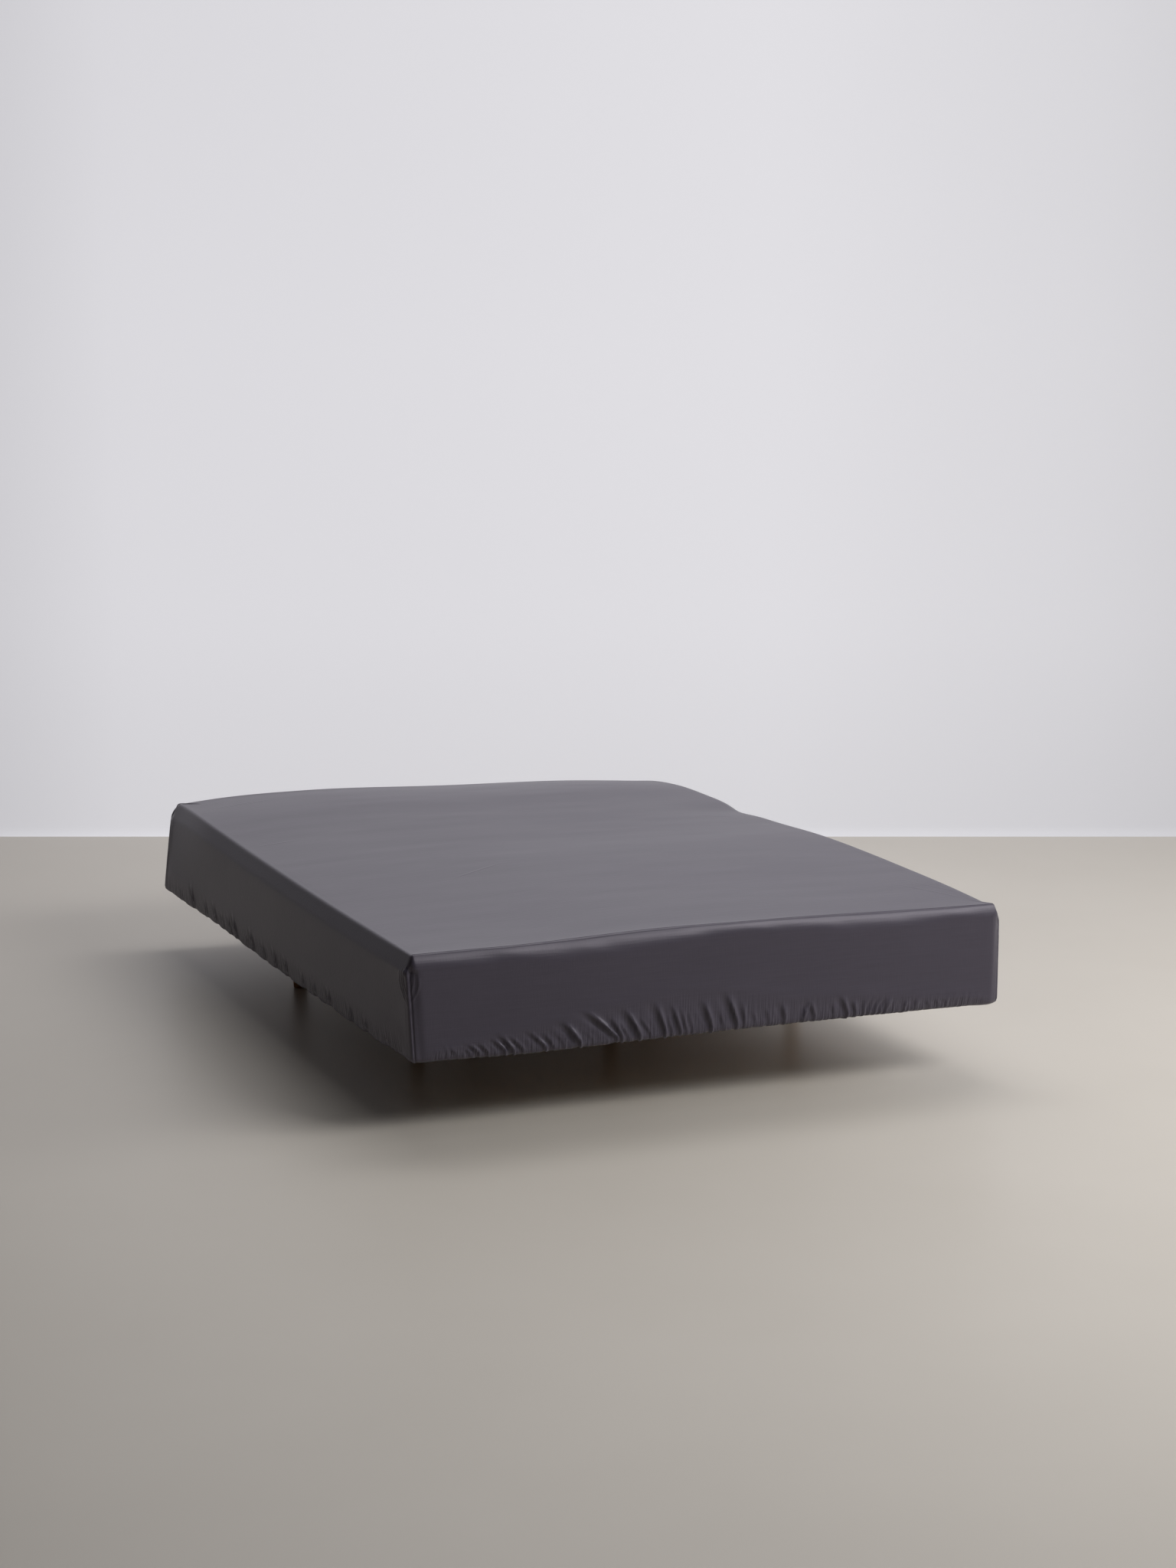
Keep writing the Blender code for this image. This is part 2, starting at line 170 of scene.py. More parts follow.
# The foot wall's gathers: (from the left at the hem, height, lean of the upper end, how far it stands out)
FOOT_GATHERS = (
    (0.086, 0.014, -0.014, 0.0015),
    (0.118, 0.018, -0.018, 0.0020),
    (0.137, 0.025, -0.030, 0.0035),
    (0.158, 0.027, -0.029, 0.0025),
    (0.197, 0.035, -0.034, 0.0040),
    (0.216, 0.043, -0.037, 0.0050),
    (0.240, 0.039, -0.044, 0.0030),
    (0.291, 0.045, -0.048, 0.0035),
    (0.310, 0.034, -0.026, 0.0030),
    (0.336, 0.037, -0.028, 0.0015),
    (0.373, 0.057, -0.045, 0.0060),
    (0.406, 0.028, -0.022, 0.0010),
    (0.462, 0.076, -0.086, 0.0070),
    (0.473, 0.056, -0.032, 0.0050),
    (0.488, 0.045, -0.030, 0.0020),
    (0.516, 0.070, -0.041, 0.0060),
    (0.543, 0.050, -0.036, 0.0022),
    (0.577, 0.078, -0.027, 0.0055),
    (0.594, 0.066, -0.018, 0.0025),
    (0.614, 0.070, -0.025, 0.0050),
    (0.629, 0.062, -0.020, 0.0025),
    (0.645, 0.048, -0.016, 0.0015),
    (0.690, 0.070, -0.024, 0.0050),
    (0.719, 0.040, -0.011, 0.0020),
    (0.753, 0.082, -0.030, 0.0055),
    (0.773, 0.058, -0.011, 0.0025),
    (0.799, 0.033, -0.008, 0.0015),
    (0.832, 0.037, -0.008, 0.0018),
    (0.872, 0.043, -0.008, 0.0035),
    (0.918, 0.040, 0.017, 0.0035),
    (0.946, 0.042, -0.012, 0.0030),
    (0.997, 0.028, -0.006, 0.0015),
    (1.029, 0.047, -0.016, 0.0040),
    (1.051, 0.034, -0.010, 0.0025),
    (1.072, 0.033, 0.006, 0.0025),
    (1.087, 0.031, 0.010, 0.0030),
    (1.100, 0.030, 0.017, 0.0035),
    (1.115, 0.028, 0.017, 0.0030),
    (1.128, 0.030, 0.011, 0.0030),
    (1.176, 0.019, 0.007, 0.0020),
    (1.204, 0.021, 0.005, 0.0020),
    (1.240, 0.015, -0.006, 0.0015),
    (1.265, 0.013, -0.006, 0.0015),
    (1.288, 0.011, -0.008, 0.0012),
)

# The left wall's gathers, in the same columns but measured from the foot
LEFT_GATHERS = (
    (0.112, 0.016, 0.010, 0.0035),
    (0.247, 0.024, 0.016, 0.0045),
    (0.354, 0.030, 0.020, 0.0050),
    (0.510, 0.034, 0.022, 0.0055),
    (0.545, 0.018, 0.010, 0.0025),
    (0.626, 0.028, 0.018, 0.0040),
    (0.715, 0.032, 0.022, 0.0040),
    (0.851, 0.042, 0.028, 0.0040),
    (0.905, 0.030, 0.018, 0.0025),
    (0.946, 0.046, 0.030, 0.0045),
    (1.044, 0.040, 0.024, 0.0035),
    (1.144, 0.052, 0.034, 0.0045),
    (1.190, 0.034, 0.020, 0.0025),
    (1.303, 0.058, 0.036, 0.0050),
    (1.360, 0.046, 0.028, 0.0035),
    (1.430, 0.038, 0.020, 0.0025),
    (1.505, 0.050, 0.026, 0.0040),
    (1.600, 0.044, 0.020, 0.0030),
    (1.727, 0.060, 0.022, 0.0045),
    (1.840, 0.030, 0.012, 0.0020),
)

# A gather's shape: its half widths to its left and its right, how much they grow, how its lean curves and
# how soon it fades towards its upper end, and the trough on its left: its share of the gather's height, and
# its distance and half width against the gather's. A faint gather keeps the share GATHER_SLIM of the width of
# a full one. Then the share of a gather that shows underneath, and the deepest hollow.
GATHER_SIDES = (0.0026, 0.0050)
GATHER_SPREAD = 1.2
GATHER_CURVE = 1.2
GATHER_FADE = 1.5
GATHER_TROUGH = 0.75
GATHER_SLIM = 0.5
FULL_GATHER = 0.006
TROUGH_AWAY = 3.2
TROUGH_WIDTH = 2.4
UNDER_SHARE = 0.6
DEEPEST = 0.0054

# The plain gathers of the other walls: their pitch, and each size with its swing either way
PLAIN_PITCH = 0.078
PLAIN_PLACE_SWING = 0.30
PLAIN_HEIGHT = (0.045, 0.020)
PLAIN_LEAN_SWING = 0.022
PLAIN_PROUD = (0.004, 0.0015)
PLAIN_RATES = (2.4, 5.1)

# The small gathers between them: (shortest and longest step), (heights), (how far they stand out)
SMALL_STEP = (0.008, 0.016)
SMALL_HEIGHT = (0.012, 0.036)
SMALL_PROUD = (0.0005, 0.0015)
SMALL_LEAN_SWING = 0.008
SMALL_LEANS = ((0.00, -0.010), (0.30, -0.030), (0.75, -0.012), (1.00, 0.002), (1.20, 0.014), (1.40, 0.004))
SMALL_WIDTH = 0.0028
SMALL_SEED = 11

# How high the elastic draws the foot wall in above the hem, (from the left, height), and the other walls,
# how far it draws them in, and the bulge above that
FOOT_DRAWN = (
    (0.00, 0.012),
    (0.10, 0.022),
    (0.20, 0.042),
    (0.35, 0.058),
    (0.46, 0.078),
    (0.75, 0.084),
    (0.88, 0.056),
    (1.02, 0.048),
    (1.14, 0.036),
    (1.28, 0.022),
    (1.40, 0.012),
)
PLAIN_DRAWN = 0.045
DRAWN_IN = 0.0046
DRAWN_BULGE = 0.0012
BULGE_WIDTH = 0.016

# Each gather lifts the hem's edge, by a share of how far it stands out and over a half width. There is one
# value for each side, as there is of the gain, which makes that side's gathers bolder.
HEM_LIFT = (0.45, 0.50, 0.50, 1.20)
LIFT_WIDTH = (0.0075, 0.0140, 0.0140, 0.0180)
GATHER_GAIN = (1.35, 1.20, 1.20, 1.10)

# Gathers and the drawn-in band fade out over this distance from a side's ends
CORNER_FADE = 0.050

# The corner seams: where each is sewn, as a part of its corner's turn, which way its side wall lies, its
# size, and how far it leans from its top to its foot. Each has a groove, a fold on the side wall beside it
# that is steep towards the seam, a hollow on its other side, and a tuck and a pit where it starts:
# (distance from the seam, half width, height). Then: the depth of the tuck and its half width, the depth
# where the seam starts and how soon it is full, and the depth from which it weakens, how soon, and what is
# left of it.
SEAM_TURNS = (0.62, 0.15, 0.85, 0.60)
SEAM_SIDES = (1.0, -1.0, 1.0, -1.0)
SEAM_SIZES = (0.45, 0.50, 0.50, 1.00)
SEAM_LEAN = 0.0130
SEAM_GROOVE = (-0.0012, 0.0015, -0.0030)
SEAM_FOLD = (0.0016, 0.0017, 0.0052)
FOLD_FAR = 0.0100
SEAM_HOLLOW = (-0.0115, 0.0085, -0.0036)
SEAM_TUCK = (0.0095, 0.0022, 0.0046)
SEAM_PIT = (-0.0040, 0.0042, -0.0060)
TUCK_DEPTH = (0.034, 0.0075)
SEAM_START = (0.026, 0.014)
SEAM_SLACK = (0.075, 0.060, 0.85)

# The near corner's puckers on the left wall: (distance from the seam at the top, depth of their two ends)
PUCKERS = (
    (0.018, 0.030, 0.090),
    (0.030, 0.030, 0.100),
    (0.042, 0.034, 0.108),
)
PUCKER_BULGE = 0.30
PUCKER_PROUD = 0.0018
PUCKER_WIDTH = 0.0024
PUCKER_CURVE = 1.5

# The fine loops on the other side of that seam, in the same columns
LOOPS = ((-0.009, 0.038, 0.082), (-0.019, 0.040, 0.100))
LOOP_PROUD = 0.0018
LOOP_WIDTH = 0.0017

# Faint unevenness of the top panel: the height and seed of its patches, and their width and length
WIDE_RELIEF = 0.0011
WIDE_PITCH = (0.40, 0.16)
WIDE_SEED = 3
FINE_RELIEF = 0.0004
FINE_PITCH = (0.13, 0.045)
FINE_SEED = 4

# The grid that uneven values are drawn from: its cells each way, and which one lies at the bed's middle
NOISE_CELLS = 64
NOISE_MIDDLE = 31.0

# Fine pleats of the gathered hem: grains a metre round the bed and up it, and their height
PLEAT_GRAIN = (190.0, 9.0, 1.0)
PLEAT_HEIGHT = 0.0036

# Faint pressed creases on the top: (start x, y, end x, y, half width, height)
TOP_CREASES = (
    (-0.600, 0.812, -0.470, 0.830, 0.0026, 0.00090),
    (-0.605, 0.798, -0.490, 0.813, 0.0024, 0.00060),
    (-0.640, 0.280, -0.560, 0.284, 0.0024, 0.00070),
    (0.270, 0.818, 0.610, 0.683, 0.0034, 0.00085),
    (0.300, 0.790, 0.560, 0.676, 0.0030, 0.00050),
    (-0.335, -0.300, -0.210, -0.222, 0.0024, 0.00075),
    (0.520, 0.238, 0.600, 0.206, 0.0024, 0.00075),
    (0.575, -0.770, 0.640, -0.905, 0.0028, 0.00080),
    (0.610, -0.740, 0.668, -0.880, 0.0024, 0.00060),
)

# The hem's stitches: how far under the mattress they run, their pitch, length and thickness, how much their
# size varies, and the faces round and along each
STITCH_REACH = 0.072
STITCH_PITCH = 0.005
STITCH_LENGTH = 0.0031
STITCH_RADIUS = 0.00028
STITCH_SWING = (0.85, 1.12)
STITCH_SIDES = 6
STITCH_RINGS = 4
STITCH_SEED = 5

# The turned legs: their radii, the rounding of their edges and its steps, and the rings of the shaft, as
# parts of its height: (lowest, highest, count)
LEG_COUNT = 6
LEG_TOP_RADIUS = 0.025
LEG_FOOT_RADIUS = 0.017
LEG_EDGE = 0.002
LEG_EDGE_STEPS = 4
LEG_RINGS = (0.1, 0.9, 6)
LEG_SIDES = 64
LEG_SHARP = math.radians(40)

# The camera and the stage round the bed
CAMERA_PLACE = (-2.5473, -6.4975, 1.7038)
CAMERA_DOWN = 0.16304
CAMERA_YAW = 0.38839
CAMERA_LENS = 66.55
CAMERA_SENSOR = 36.0
BACKDROP_AWAY = 9.33
BACKDROP_HEIGHT = 7.0
COVE_RADIUS = 0.03
COVE_STEPS = 6
STAGE_SPAN = 28.0
FLOOR_REACH = (-14.0, BACKDROP_AWAY + 14.0)
FLOOR_COLOURS = ((0.48, 0.448, 0.400), (0.51, 0.478, 0.430))
FLOOR_ROUGHNESS = 0.40
FLOOR_GLOSS = 0.25

# The backdrop glows evenly where the picture shows it, and less beyond: (metres across or up, brightness)
WALL_COLOURS = ((0.20, 0.20, 0.205), (0.21, 0.21, 0.215))
WALL_ROUGHNESS = 0.9
WALL_GLOW = (0.980, 0.975, 1.0)
WALL_BRIGHTNESS = 0.62
WALL_ACROSS = ((-2.9, 0.15), (-2.0, 0.85), (-1.5, 1.0), (0.6, 0.97), (1.6, 0.83), (3.6, 0.40))
WALL_UP = ((0.0, 0.90), (0.7, 1.0), (1.6, 1.0), (2.7, 0.95), (4.2, 0.5))

# Soft lights: (name, place beside the bed's middle, size, watts, colour)
LIGHTS_AIM = (0.0, 0.0, 0.3)
LIGHTS = (
    ("near_window", (3.2, -2.6, 3.1), (2.6, 1.4), 130.0, (1.0, 0.99, 0.99)),
    ("side_window", (4.3, -0.6, 2.1), (2.6, 1.6), 72.0, (1.0, 0.99, 0.99)),
    ("overhead", (0.2, 0.0, 4.6), (4.5, 2.4), 18.0, (1.0, 1.0, 1.0)),
    ("far_overhead", (0.4, 1.9, 4.6), (4.5, 2.0), 118.0, (1.0, 0.99, 1.0)),
    ("left_fill", (-3.6, 1.2, 3.2), (2.5, 2.0), 9.0, (0.93, 0.90, 1.0)),
)


def smoothstep(value):
    clipped = np.clip(value, 0.0, 1.0)
    return clipped * clipped * (3.0 - 2.0 * clipped)


def bell(value):
    return np.exp(-(value**2))


def along(table, distance):
    """A smooth curve through a table's (distance, value) rows, read at an array of distances."""
    places, values = np.array(table, float).T
    slopes = np.gradient(values, places)
    distance = np.asarray(distance, float)
    upper = np.clip(np.searchsorted(places, distance), 1, len(places) - 1)
    span = places[upper] - places[upper - 1]
    part = np.clip((distance - places[upper - 1]) / span, 0.0, 1.0)
    start, end = values[upper - 1], values[upper]
    leave, arrive = slopes[upper - 1] * span, slopes[upper] * span
    cubic = part**3
    square = part**2
    return (
        start * (2 * cubic - 3 * square + 1)
        + leave * (cubic - 2 * square + part)
        + end * (3 * square - 2 * cubic)
        + arrive * (cubic - square)
    )


def soft_noise(x, y, pitch, seed):
    """Smooth uneven values, about -1 to 1, from a seeded grid whose cells are pitch = (width, length)."""
    grid = np.random.default_rng(seed).uniform(-1.0, 1.0, (NOISE_CELLS, NOISE_CELLS))
    column = np.asarray(x) / pitch[0] + NOISE_MIDDLE
    row = np.asarray(y) / pitch[1] + NOISE_MIDDLE
    left, low = np.floor(column).astype(int), np.floor(row).astype(int)
    across, up = smoothstep(column - left), smoothstep(row - low)
    right = (left + 1) % NOISE_CELLS
    left = left % NOISE_CELLS
    near, far = (
        grid[line % NOISE_CELLS, left] * (1 - across) + grid[line % NOISE_CELLS, right] * across
        for line in (low, low + 1)
    )
    return near * (1 - up) + far * up


def dent(x, y):
    """How strongly the dent in the right top edge acts at a point, from 0 to 1."""
    lengthwise = bell((y + LENGTH / 2 - DENT_FROM_FOOT) / DENT_LENGTH)
    return lengthwise * smoothstep(1.0 - (WIDTH / 2 - x) / DENT_REACH)


def top_height(x, y):
    """The height of the sheet's upper surface: its four edges' curves, blended across the bed."""
    u = np.clip(x + WIDTH / 2, 0.0, WIDTH)
    v = np.clip(y + LENGTH / 2, 0.0, LENGTH)
    across, up = u / WIDTH, v / LENGTH
    edges = (
        (1 - up) * along(FOOT_RISE, u)
        + up * along(HEAD_RISE, u)
        + (1 - across) * along(LEFT_RISE, v)
        + across * along(RIGHT_RISE, v)
    )
    corners = across * up * HEAD_RISE[-1][1]
    return SHEET_TOP + edges - corners - DENT_DEPTH * dent(x, y)


def near_corner(side, span):
    """Whether a span of the top's edge lies beside the near corner."""
    return (side == LEFT and span >= TOP_SPANS[1] - NEAR_SPANS) or (side == FOOT and span == 0)


def hem_split(side, span):
    return NEAR_SPLIT if near_corner(side, span) else HEM_SPLITS[side]


def wall_split(side, span):
    return NEAR_SPLIT if near_corner(side, span) else 1


def whole(side, span):
    return 1


def plain_gathers(side):
    """Uneven gathers for a wall that the photo doesn't show, in the columns of FOOT_GATHERS."""
    found = []
    count = round(SIDE_LENGTHS[side] / PLAIN_PITCH) - 1
    for step in range(1, count + 1):
        first = math.sin(PLAIN_RATES[0] * step + side)
        second = math.sin(PLAIN_RATES[1] * step + 2 * side)
        place = PLAIN_PITCH * (step + PLAIN_PLACE_SWING * first)
        height = PLAIN_HEIGHT[0] + PLAIN_HEIGHT[1] * second
        proud = PLAIN_PROUD[0] + PLAIN_PROUD[1] * second
        found.append((place, height, PLAIN_LEAN_SWING * first, proud))
    return found


def left_gathers():
    """The left wall's gathers, measured from the head as that side runs. They lean to the head."""
    return [(LENGTH - place, height, -lean, proud) for place, height, lean, proud in LEFT_GATHERS]


def small_gathers(side):
    """The fine gathers that an elastic hem draws up between the main ones, in the same columns."""
    chance = np.random.default_rng(SMALL_SEED + side)
    found = []
    place = chance.uniform(*SMALL_STEP)
    while place < SIDE_LENGTHS[side]:
        lean = float(along(SMALL_LEANS, place)) if side == FOOT else chance.normal(0.0, SMALL_LEAN_SWING)
        height = chance.uniform(*SMALL_HEIGHT)
        found.append((place, height, lean * height / SMALL_HEIGHT[1], chance.uniform(*SMALL_PROUD)))
        place += chance.uniform(*SMALL_STEP)
    return found


MAIN_GATHERS = (FOOT_GATHERS, plain_gathers(RIGHT), plain_gathers(HEAD), left_gathers())
SMALL_GATHERS = tuple(small_gathers(side) for side in range(4))


class Round:
    """Places round the bed, as arrays: the side, the part of its straight run and of the turn after it.

    split(side, span) says how many steps a span of the top's edge is split into.
    """

    def __init__(self, split):
        self.steps = []
        side, straight, turn = [], [], []
        for number in range(4):
            spans = TOP_SPANS[number % 2]
            for span in range(spans):
                count = split(number, span)
                self.steps.append(count)
                straight += [(span + step / count) / spans for step in range(count)]
                side += [number] * count
                turn += [0.0] * count
            self.steps += [1] * CORNER_STEPS
            straight += [1.0] * CORNER_STEPS
            side += [number] * CORNER_STEPS
            turn += [step / CORNER_STEPS for step in range(CORNER_STEPS)]
        self.side = np.array(side)
        self.straight = np.array(straight)
        self.turn = np.array(turn)
        angle = math.pi / 2 * (self.side + self.turn - 1)
        self.outward = np.stack([np.cos(angle), np.sin(angle)], axis=1)
        lengths = np.array(SIDE_LENGTHS)
        self.place = self.straight * lengths[self.side]
        end = np.minimum(self.place, lengths[self.side] - self.place)
        self.fade = smoothstep(end / CORNER_FADE)
        self.drawn = np.where(self.side == FOOT, along(FOOT_DRAWN, self.place), PLAIN_DRAWN)
        self.measure_round(lengths - 2 * CORNER_RADIUS)
        self.lift = np.zeros(len(side))
        for number in range(4):
            here = self.on_side(number)
            for centre, _, _, proud in MAIN_GATHERS[number]:
                apart = (self.place[here] - centre) / LIFT_WIDTH[number]
                self.lift[here] += HEM_LIFT[number] * proud * bell(apart)

    def on_side(self, number):
        return (self.side == number) & (self.turn == 0.0)

    def measure_round(self, straights):
        """The distance round the bed from the foot's left end, and from the nearest corner seam."""
        arc = math.pi / 2 * CORNER_RADIUS
        starts = np.concatenate([[0.0], np.cumsum(straights + arc)])
        self.distance = starts[self.side] + self.straight * straights[self.side] + self.turn * arc
        seams = starts[:4] + straights + np.array(SEAM_TURNS) * arc
        gaps = (self.distance[:, None] - seams + starts[4] / 2) % starts[4] - starts[4] / 2
        self.corner = np.abs(gaps).argmin(axis=1)
        self.away = gaps[np.arange(len(gaps)), self.corner] * np.array(SEAM_SIDES)[self.corner]

    def outline(self, inset, radius):
        """Points of a rounded rectangle, set in from the bed's."""
        inset = np.broadcast_to(inset, self.turn.shape)
        reach = np.stack([WIDTH / 2 - inset - radius, LENGTH / 2 - inset - radius], axis=1)
        signs = np.array([(1, -1), (1, 1), (-1, 1), (-1, -1)])
        straight = self.straight[:, None]
        centre = reach * (signs[self.side - 1] * (1 - straight) + signs[self.side] * straight)
        return centre + radius * self.outward

    def flat(self, up):
        """The cloth's own map: the distance round the bed, and the distance up from the hem's edge."""
        return np.column_stack([self.distance, np.broadcast_to(up, self.distance.shape)])


def side_offset(points, outward, z):
    """How far a wall stands out of the plain rectangle at the height z."""
    height = np.clip((z - SHEET_LOW) / DEPTH, 0.0, 1.0)
    v = points[:, 1] + LENGTH / 2
    middle = np.sin(math.pi * np.clip(v / LENGTH, 0.0, 1.0))
    right = np.maximum(outward[:, 0], 0.0) ** 2
    left = np.maximum(-outward[:, 0], 0.0) ** 2
    head_end = smoothstep(1.0 - (LENGTH - v) / HEAD_LEFT_REACH)
    foot_end = smoothstep(1.0 - v / NEAR_LEFT_REACH)
    lean = HEAD_LEFT_LEAN * (1.0 - 2.0 * height) * head_end - NEAR_LEFT_TUCK * (1.0 - height) * foot_end
    bow = RIGHT_BOW * right * middle * height + LEFT_BOW * left * middle * (1.0 - height)
    return bow + left * lean - right * DENT_INSET * dent(WIDTH / 2, points[:, 1]) * height


def foot_share(outward):
    return np.maximum(-outward[:, 1], 0.0) ** 2


def top_radius(points, outward):
    band = along(FOOT_BAND, points[:, 0] + WIDTH / 2)
    return SIDE_TOP_RADIUS + (band - SIDE_TOP_RADIUS) * foot_share(outward)


def hem_height(around, points, lifted):
    """The height of the hem's lower edge, with a share of the lift that its gathers give it."""
    left = np.maximum(-around.outward[:, 0], 0.0) ** 2
    foot = foot_share(around.outward) * along(FOOT_SAG, points[:, 0] + WIDTH / 2)
    return SHEET_LOW - foot - left * along(LEFT_SAG, points[:, 1] + LENGTH / 2) + around.lift * lifted


def drawn_in(around, rise):
    """How far the elastic draws the walls in above the hem, and the slight bulge over that band."""
    part = np.clip(rise / around.drawn, 0.0, 1.0)
    bulge = DRAWN_BULGE * bell((rise - around.drawn) / BULGE_WIDTH)
    return (bulge - DRAWN_IN * (1.0 - part) ** 2) * around.fade


def held_out(relief):
    """Relief whose hollows stop short of the mattress."""
    return np.where(relief < 0.0, -DEEPEST * np.tanh(-relief / DEEPEST), relief)


def gather_relief(around, rise):
    """How far the gathers stand out, at a height above the hem's lower turn."""
    proud = np.zeros(len(around.turn))
    for side in range(4):
        here = around.on_side(side)
        place = around.place[here]
        total = np.zeros(len(place))
        for centre, height, lean, amount in MAIN_GATHERS[side]:
            part = rise / height
            if part < 1.0:
                apart = place - centre - lean * part**GATHER_CURVE
                fullness = GATHER_SLIM + (1.0 - GATHER_SLIM) * amount / FULL_GATHER
                spread = (1.0 + GATHER_SPREAD * part) * fullness
                near, far = GATHER_SIDES[0] * spread, GATHER_SIDES[1] * spread
                ridge = np.where(apart < 0.0, bell(apart / near), bell(apart / far))
                trough = GATHER_TROUGH * bell((apart + TROUGH_AWAY * near) / (TROUGH_WIDTH * near))
                total += amount * smoothstep(GATHER_FADE * (1.0 - part)) * (ridge - trough)
        for centre, height, lean, amount in SMALL_GATHERS[side]:
            part = rise / height
            if part < 1.0:
                apart = (place - centre - lean * part) / (SMALL_WIDTH * (1.0 + part))
                total += amount * (1.0 - part) * bell(apart)
        proud[here] = GATHER_GAIN[side] * total
    return held_out(proud * around.fade + drawn_in(around, rise))


def corner_relief(around, depth):
    """The corner seams, and the near corner's puckers and loops, at a depth below the top."""
    begin, run = SEAM_START
    full, weaken, least = SEAM_SLACK
    weakened = 1.0 - (1.0 - least) * smoothstep((depth - full) / weaken)
    strength = smoothstep((depth - begin) / run) * weakened
    away = around.away + SEAM_LEAN * (depth / DEPTH - 0.5)
    relief = np.zeros(len(away))
    for place, width, height in (SEAM_GROOVE, SEAM_HOLLOW):
        relief += height * strength * bell((away - place) / width)
    place, width, height = SEAM_FOLD
    relief += height * strength * bell((away - place) / np.where(away < place, width, FOLD_FAR))
    for place, width, height in (SEAM_TUCK, SEAM_PIT):
        relief += height * bell((away - place) / width) * bell((depth - TUCK_DEPTH[0]) / TUCK_DEPTH[1])
    relief *= np.array(SEAM_SIZES)[around.corner]
    near = around.corner == LEFT
    for table, proud, width in ((PUCKERS, PUCKER_PROUD, PUCKER_WIDTH), (LOOPS, LOOP_PROUD, LOOP_WIDTH)):
        for start, high, low in table:
            part = np.clip((depth - high) / (low - high), 0.0, 1.0)
            bowed = np.sin(math.pi * part)
            centre = start * (1.0 - part**PUCKER_CURVE + PUCKER_BULGE * bowed)
            relief += near * proud * np.sqrt(bowed) * bell((away - centre) / width)
    return held_out(relief)


def top_relief(x, y):
    """Faint unevenness of the cloth on the top panel, drawn out across the bed."""
    wide = WIDE_RELIEF * soft_noise(x, y, WIDE_PITCH, WIDE_SEED)
    return wide + FINE_RELIEF * soft_noise(x, y, FINE_PITCH, FINE_SEED)


TURN = np.linspace(0.0, 1.0, PROFILE_STEPS + 1)


def edge_profile(slope):
    """A rolled edge from the wall up, in tables: how far in, how far down, and how far it faces up."""
    into = np.cumsum(np.cos(slope)) - math.cos(slope[0])
    up = np.cumsum(np.sin(slope)) - math.sin(slope[0])
    return into / up[-1], 1.0 - up / up[-1], math.pi / 2 - slope


UPRIGHT = math.pi / 2
LEFT_LEAN = (UPRIGHT - LEFT_SLOPE) * smoothstep(TURN / LEFT_LEANS)
LEFT_TIGHT = LEFT_SLOPE * smoothstep((TURN - LEFT_TURNS) / (1.0 - LEFT_TURNS))
ROUND_PROFILE = edge_profile(UPRIGHT * (1.0 - TURN))
LEFT_PROFILE = edge_profile(UPRIGHT - LEFT_LEAN - LEFT_TIGHT)
BAND_LEAN = BAND_TILT * np.minimum(TURN / BAND_TURNS, 1.0)
BAND_TIGHT = (UPRIGHT - BAND_TILT) * smoothstep((TURN - BAND_TURNS) / (1.0 - BAND_TURNS))
BAND_PROFILE = edge_profile(UPRIGHT - BAND_LEAN - BAND_TIGHT)


def outward_ring(points, outward, z, amount, up=0.0):
    """Ring points at the height z, moved by amount along the wall's outward direction, tipped up by up."""
    flat = points + outward * (amount * np.cos(up))[:, None]
    return np.column_stack([flat, z + amount * np.sin(up)])


def shifted(points, outward, z):
    return points + outward * side_offset(points, outward, z)[:, None]


def edge_points(around, turn, inset, drop):
    """Points on the rolled top edge, their heights and how far they face up.

    turn runs from 0, on the wall, to 1, on the top.
    """
    radius = top_radius(around.outline(inset, CORNER_RADIUS), around.outward)
    foot, left = foot_share(around.outward), np.maximum(-around.outward[:, 0], 0.0) ** 2
    into, down, tilt = (
        foot * np.interp(turn, TURN, band) + left * np.interp(turn, TURN, tight)
        + (1.0 - foot - left) * np.interp(turn, TURN, plain)
        for band, tight, plain in zip(BAND_PROFILE, LEFT_PROFILE, ROUND_PROFILE)
    )
    points = around.outline(inset + radius * into, CORNER_RADIUS * (1.0 - CORNER_TIGHTENS * turn))
    points = shifted(points, around.outward, SHEET_TOP - radius * down)
    return points, top_height(*points.T) - drop - radius * down, tilt


def step_relief(around, reach):
    """The pressed step along the foot's top edge, at a reach in from it."""
    return STEP_PROUD * foot_share(around.outward) * smoothstep(1.0 - reach / STEP_SETTLES)


def hem_ring(around, part):
    """A ring of the hem's underside: part runs from 0, at its free edge, to 1, at the lower edge."""
    reach = HEM_REACH + (LOWER_RADIUS - HEM_REACH) * part
    radius = HEM_CORNER_RADIUS + (LOWER_CORNER_RADIUS - HEM_CORNER_RADIUS) * part
    points = around.outline(reach, radius)
    z = hem_height(around, points, part) + HEM_EDGE_RISE * (1 - part)
    z = z - UNDER_SHARE * gather_relief(around, 0.0)
    points = shifted(points, around.outward, np.full(len(points), SHEET_LOW))
    return np.column_stack([points, z]), around.flat(HEM_REACH * (part - 1.0)), around.fade


def lower_ring(around, turn):
    """A ring of the rounded lower edge: turn runs from 0, underneath, to 1, on the wall."""
    bend = math.pi / 2 * turn
    radius = LOWER_CORNER_RADIUS + (CORNER_RADIUS - LOWER_CORNER_RADIUS) * turn
    points = around.outline(LOWER_RADIUS * (1.0 - math.sin(bend)), radius)
    z = hem_height(around, points, 1.0) + LOWER_RADIUS * (1.0 - math.cos(bend))
    relief = gather_relief(around, 0.0) * (UNDER_SHARE + (1.0 - UNDER_SHARE) * turn)
    relief = relief + corner_relief(around, top_height(*points.T) - z) * turn
    points = shifted(points, around.outward, z)
    ring = outward_ring(points, around.outward, z, relief, bend - math.pi / 2)
    return ring, around.flat(LOWER_RADIUS * bend), around.fade


